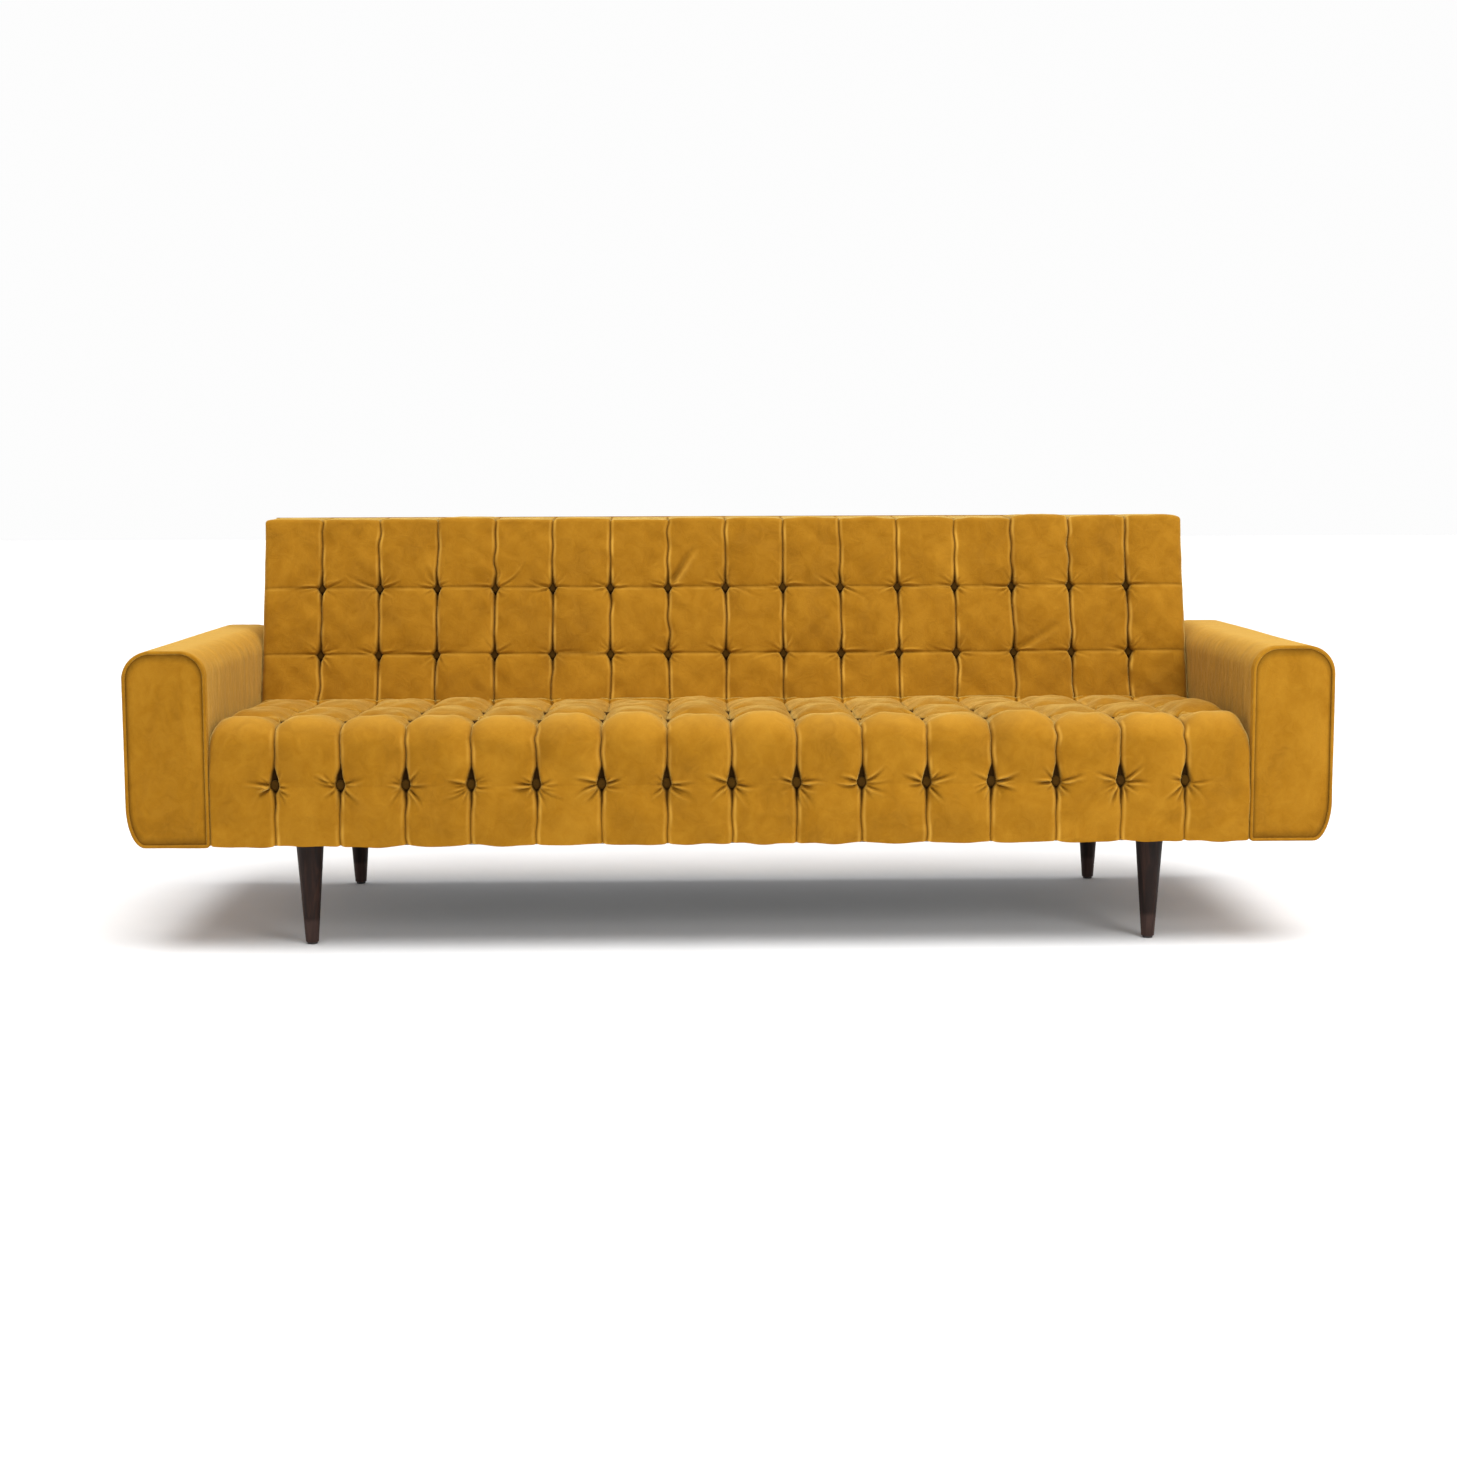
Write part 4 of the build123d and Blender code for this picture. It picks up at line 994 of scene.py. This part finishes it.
def build_piping(hand, side):
    """Velvet piping round the front and rear edges of an arm."""
    low, high = (Vector(corner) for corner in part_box(f"arm_cover_{hand}"))
    loop = arm_loop(low, high, side)
    out = loop_normals(loop, side)
    rng = np.random.default_rng(31 if side > 0 else 32)
    points, faces = [], []
    for y, facing in ((low.y - PIPING_PROUD, -1), (high.y + PIPING_PROUD, 1)):
        start = len(points)
        radii = PIPING + smooth_noise(len(loop), 6, PIPING_WOBBLE, rng)
        for (x, z), (out_x, out_z), radius in zip(loop - out * PIPING_INSET, out, radii):
            for k in range(PIPING_POINTS):
                turn = 2 * pi * k / PIPING_POINTS
                reach, rise = radius * cos(turn), radius * sin(turn)
                points.append((x + out_x * reach, y + facing * rise, z + out_z * reach))
        for i in range(len(loop)):
            here = start + i * PIPING_POINTS
            there = start + (i + 1) % len(loop) * PIPING_POINTS
            for k in range(PIPING_POINTS):
                k2 = (k + 1) % PIPING_POINTS
                face = (here + k, here + k2, there + k2, there + k)
                faces.append(face if facing * side < 0 else face[::-1])
    bare = np.zeros(len(points))
    return mesh_object(f"piping_{hand}", np.array(points), faces, velvet_panel, slit=bare)


for hand, side in (("left", -1), ("right", 1)):
    arm = build_arm(hand, side)
    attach(arm, "root")
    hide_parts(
        f"arm_cover_{hand}",
        f"arm_front_panel_{hand}",
        f"arm_rear_panel_{hand}",
        f"arm_padding_{hand}",
    )
    piping = build_piping(hand, side)
    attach(piping, "root")
    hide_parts(f"arm_piping_{hand}")


# --- Outside back -----------------------------------------------------------------------------
OUTSIDE_WRAP = 0.0007  # how far the cloth wraps past the edges of its board
OUTSIDE_EDGE = 0.0016  # how far its edges round off
OUTSIDE_PROUD, OUTSIDE_DEEP = 0.0014, 0.0034  # its two faces, from the CAD cover's front
PUCKER, PUCKER_PITCH = 0.0006, 0.031  # of the hand-sewn edges


def build_outside_back():
    """The velvet outside back: pulled flat over its board, with soft, hand-sewn edges."""
    low, high = (Vector(corner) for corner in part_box("outside_back_cover"))
    lean = (high.y - low.y - 0.002) / (high.z - low.z)
    rng = np.random.default_rng(41)
    wrap = Vector((OUTSIDE_WRAP, 0, OUTSIDE_WRAP))
    low, high = low - wrap, high + wrap
    xs = low.x + (high.x - low.x) * gathered(150, 0.5)
    zs = low.z + (high.z - low.z) * gathered(60, 0.5)
    gx = np.minimum(xs - low.x, high.x - xs)[:, None]
    gz = np.minimum(zs - low.z, high.z - zs)[None, :]
    edge = OUTSIDE_EDGE * np.maximum(round_over(gx, 0.004), round_over(gz, 0.004))
    stitches = np.sin(xs * 2 * pi / PUCKER_PITCH + 1.3 * np.sin(xs * 17))[:, None]
    soft = PUCKER * bell(gz, 0.03) * stitches
    for _ in range(6):
        size, kx, kz = rng.uniform(0.0002, 0.0005), rng.uniform(2, 9), rng.uniform(3, 9)
        soft += size * np.sin(kx * xs[:, None] + kz * zs[None, :] + rng.uniform(0, 6))
    board = low.y + lean * (zs[None, :] - low.z)
    outer = np.zeros((len(xs), len(zs), 3))
    outer[:, :, 0] = xs[:, None]
    outer[:, :, 2] = zs[None, :]
    outer[:, :, 1] = board + OUTSIDE_PROUD - edge + soft * (1 - round_over(gx, 0.02))
    inner = outer.copy()
    inner[:, :, 1] = board - OUTSIDE_DEEP
    nx, nz = len(xs), len(zs)
    points = np.concatenate([outer.reshape(-1, 3), inner.reshape(-1, 3)])
    faces = []
    skip = nx * nz
    for i in range(nx - 1):
        for a in range(i * nz, i * nz + nz - 1):
            b, c, d = a + nz, a + nz + 1, a + 1
            faces += [(d, c, b, a), (skip + a, skip + b, skip + c, skip + d)]
    border = [(i, 0) for i in range(nx)] + [(nx - 1, k) for k in range(1, nz)]
    border += [(i, nz - 1) for i in range(nx - 2, -1, -1)] + [(0, k) for k in range(nz - 2, 0, -1)]
    ids = [i * nz + k for i, k in border]
    for a, b in zip(ids, ids[1:] + ids[:1]):
        faces.append((a, b, skip + b, skip + a))
    bare = np.zeros(len(points))
    return mesh_object("outside_back", points, faces, velvet_panel, slit=bare)


outside = build_outside_back()
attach(outside, "root")
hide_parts("outside_back_cover")


# --- Room and light ---------------------------------------------------------------------------
WALL = (0.98, 0.98, 0.98)
CEILING = (0.34, 0.34, 0.35)
WALL_TOP, CEILING_FROM = 0.34, 0.62  # heights on a sphere round the sofa
KEY_STRENGTH = 3.75
KEY_SPREAD = 55
KEY_FROM = (0.08, -0.235, 1.0)
WINDOW_PLACE = (2.2, -3.4, 1.8)
WINDOW_SIZE = (1.6, 1.6)
WINDOW_POWER = 55
FLOOR_DARK, FLOOR_PALE = 0.78, 0.82
FLOOR_REACH = 30


def build_floor():
    n = Nodes("pale_floor")
    grain = n.noise(n.place(), 3, 3, 0.5)
    n.paint(n.grey(grain, [(0.3, FLOOR_DARK), (0.7, FLOOR_PALE)]))
    n.set(Roughness=0.9, Specular_IOR_Level=0.1)
    mesh = bpy.data.meshes.new("floor")
    r = FLOOR_REACH
    mesh.from_pydata([(-r, -r, 0), (r, -r, 0), (r, r, 0), (-r, r, 0)], [], [(0, 1, 2, 3)])
    mesh.materials.append(n.material)
    floor = bpy.data.objects.new("floor", mesh)
    scene.collection.objects.link(floor)


def light_room():
    """A room with white walls and a dimmer ceiling, and a soft key from above, on the right."""
    world = bpy.data.worlds.new("room")
    world.use_nodes = True
    nodes, links = world.node_tree.nodes, world.node_tree.links
    coords = nodes.new("ShaderNodeTexCoord")
    split = nodes.new("ShaderNodeSeparateXYZ")
    ramp = nodes.new("ShaderNodeValToRGB")
    shades = ((WALL_TOP, WALL), (CEILING_FROM, CEILING))
    for element, (height, colour) in zip(ramp.color_ramp.elements, shades):
        element.position = height
        element.color = (*colour, 1)
    links.new(coords.outputs["Generated"], split.inputs["Vector"])
    links.new(split.outputs["Z"], ramp.inputs["Fac"])
    links.new(ramp.outputs["Color"], nodes["Background"].inputs["Color"])
    nodes["Background"].inputs["Strength"].default_value = 1.0
    scene.world = world
    key = bpy.data.lights.new("key", "SUN")
    key.energy = KEY_STRENGTH
    key.angle = radians(KEY_SPREAD)
    lamp = bpy.data.objects.new("key", key)
    lamp.rotation_euler = Vector(KEY_FROM).to_track_quat("Z", "Y").to_euler()
    scene.collection.objects.link(lamp)
    window = bpy.data.lights.new("window", "AREA")
    window.shape = "RECTANGLE"
    window.size, window.size_y = WINDOW_SIZE
    window.energy = WINDOW_POWER
    lamp = bpy.data.objects.new("window", window)
    lamp.location = WINDOW_PLACE
    lamp.rotation_euler = Vector(WINDOW_PLACE).to_track_quat("Z", "Y").to_euler()
    scene.collection.objects.link(lamp)
    scene.view_settings.view_transform = "Standard"


build_floor()
light_room()
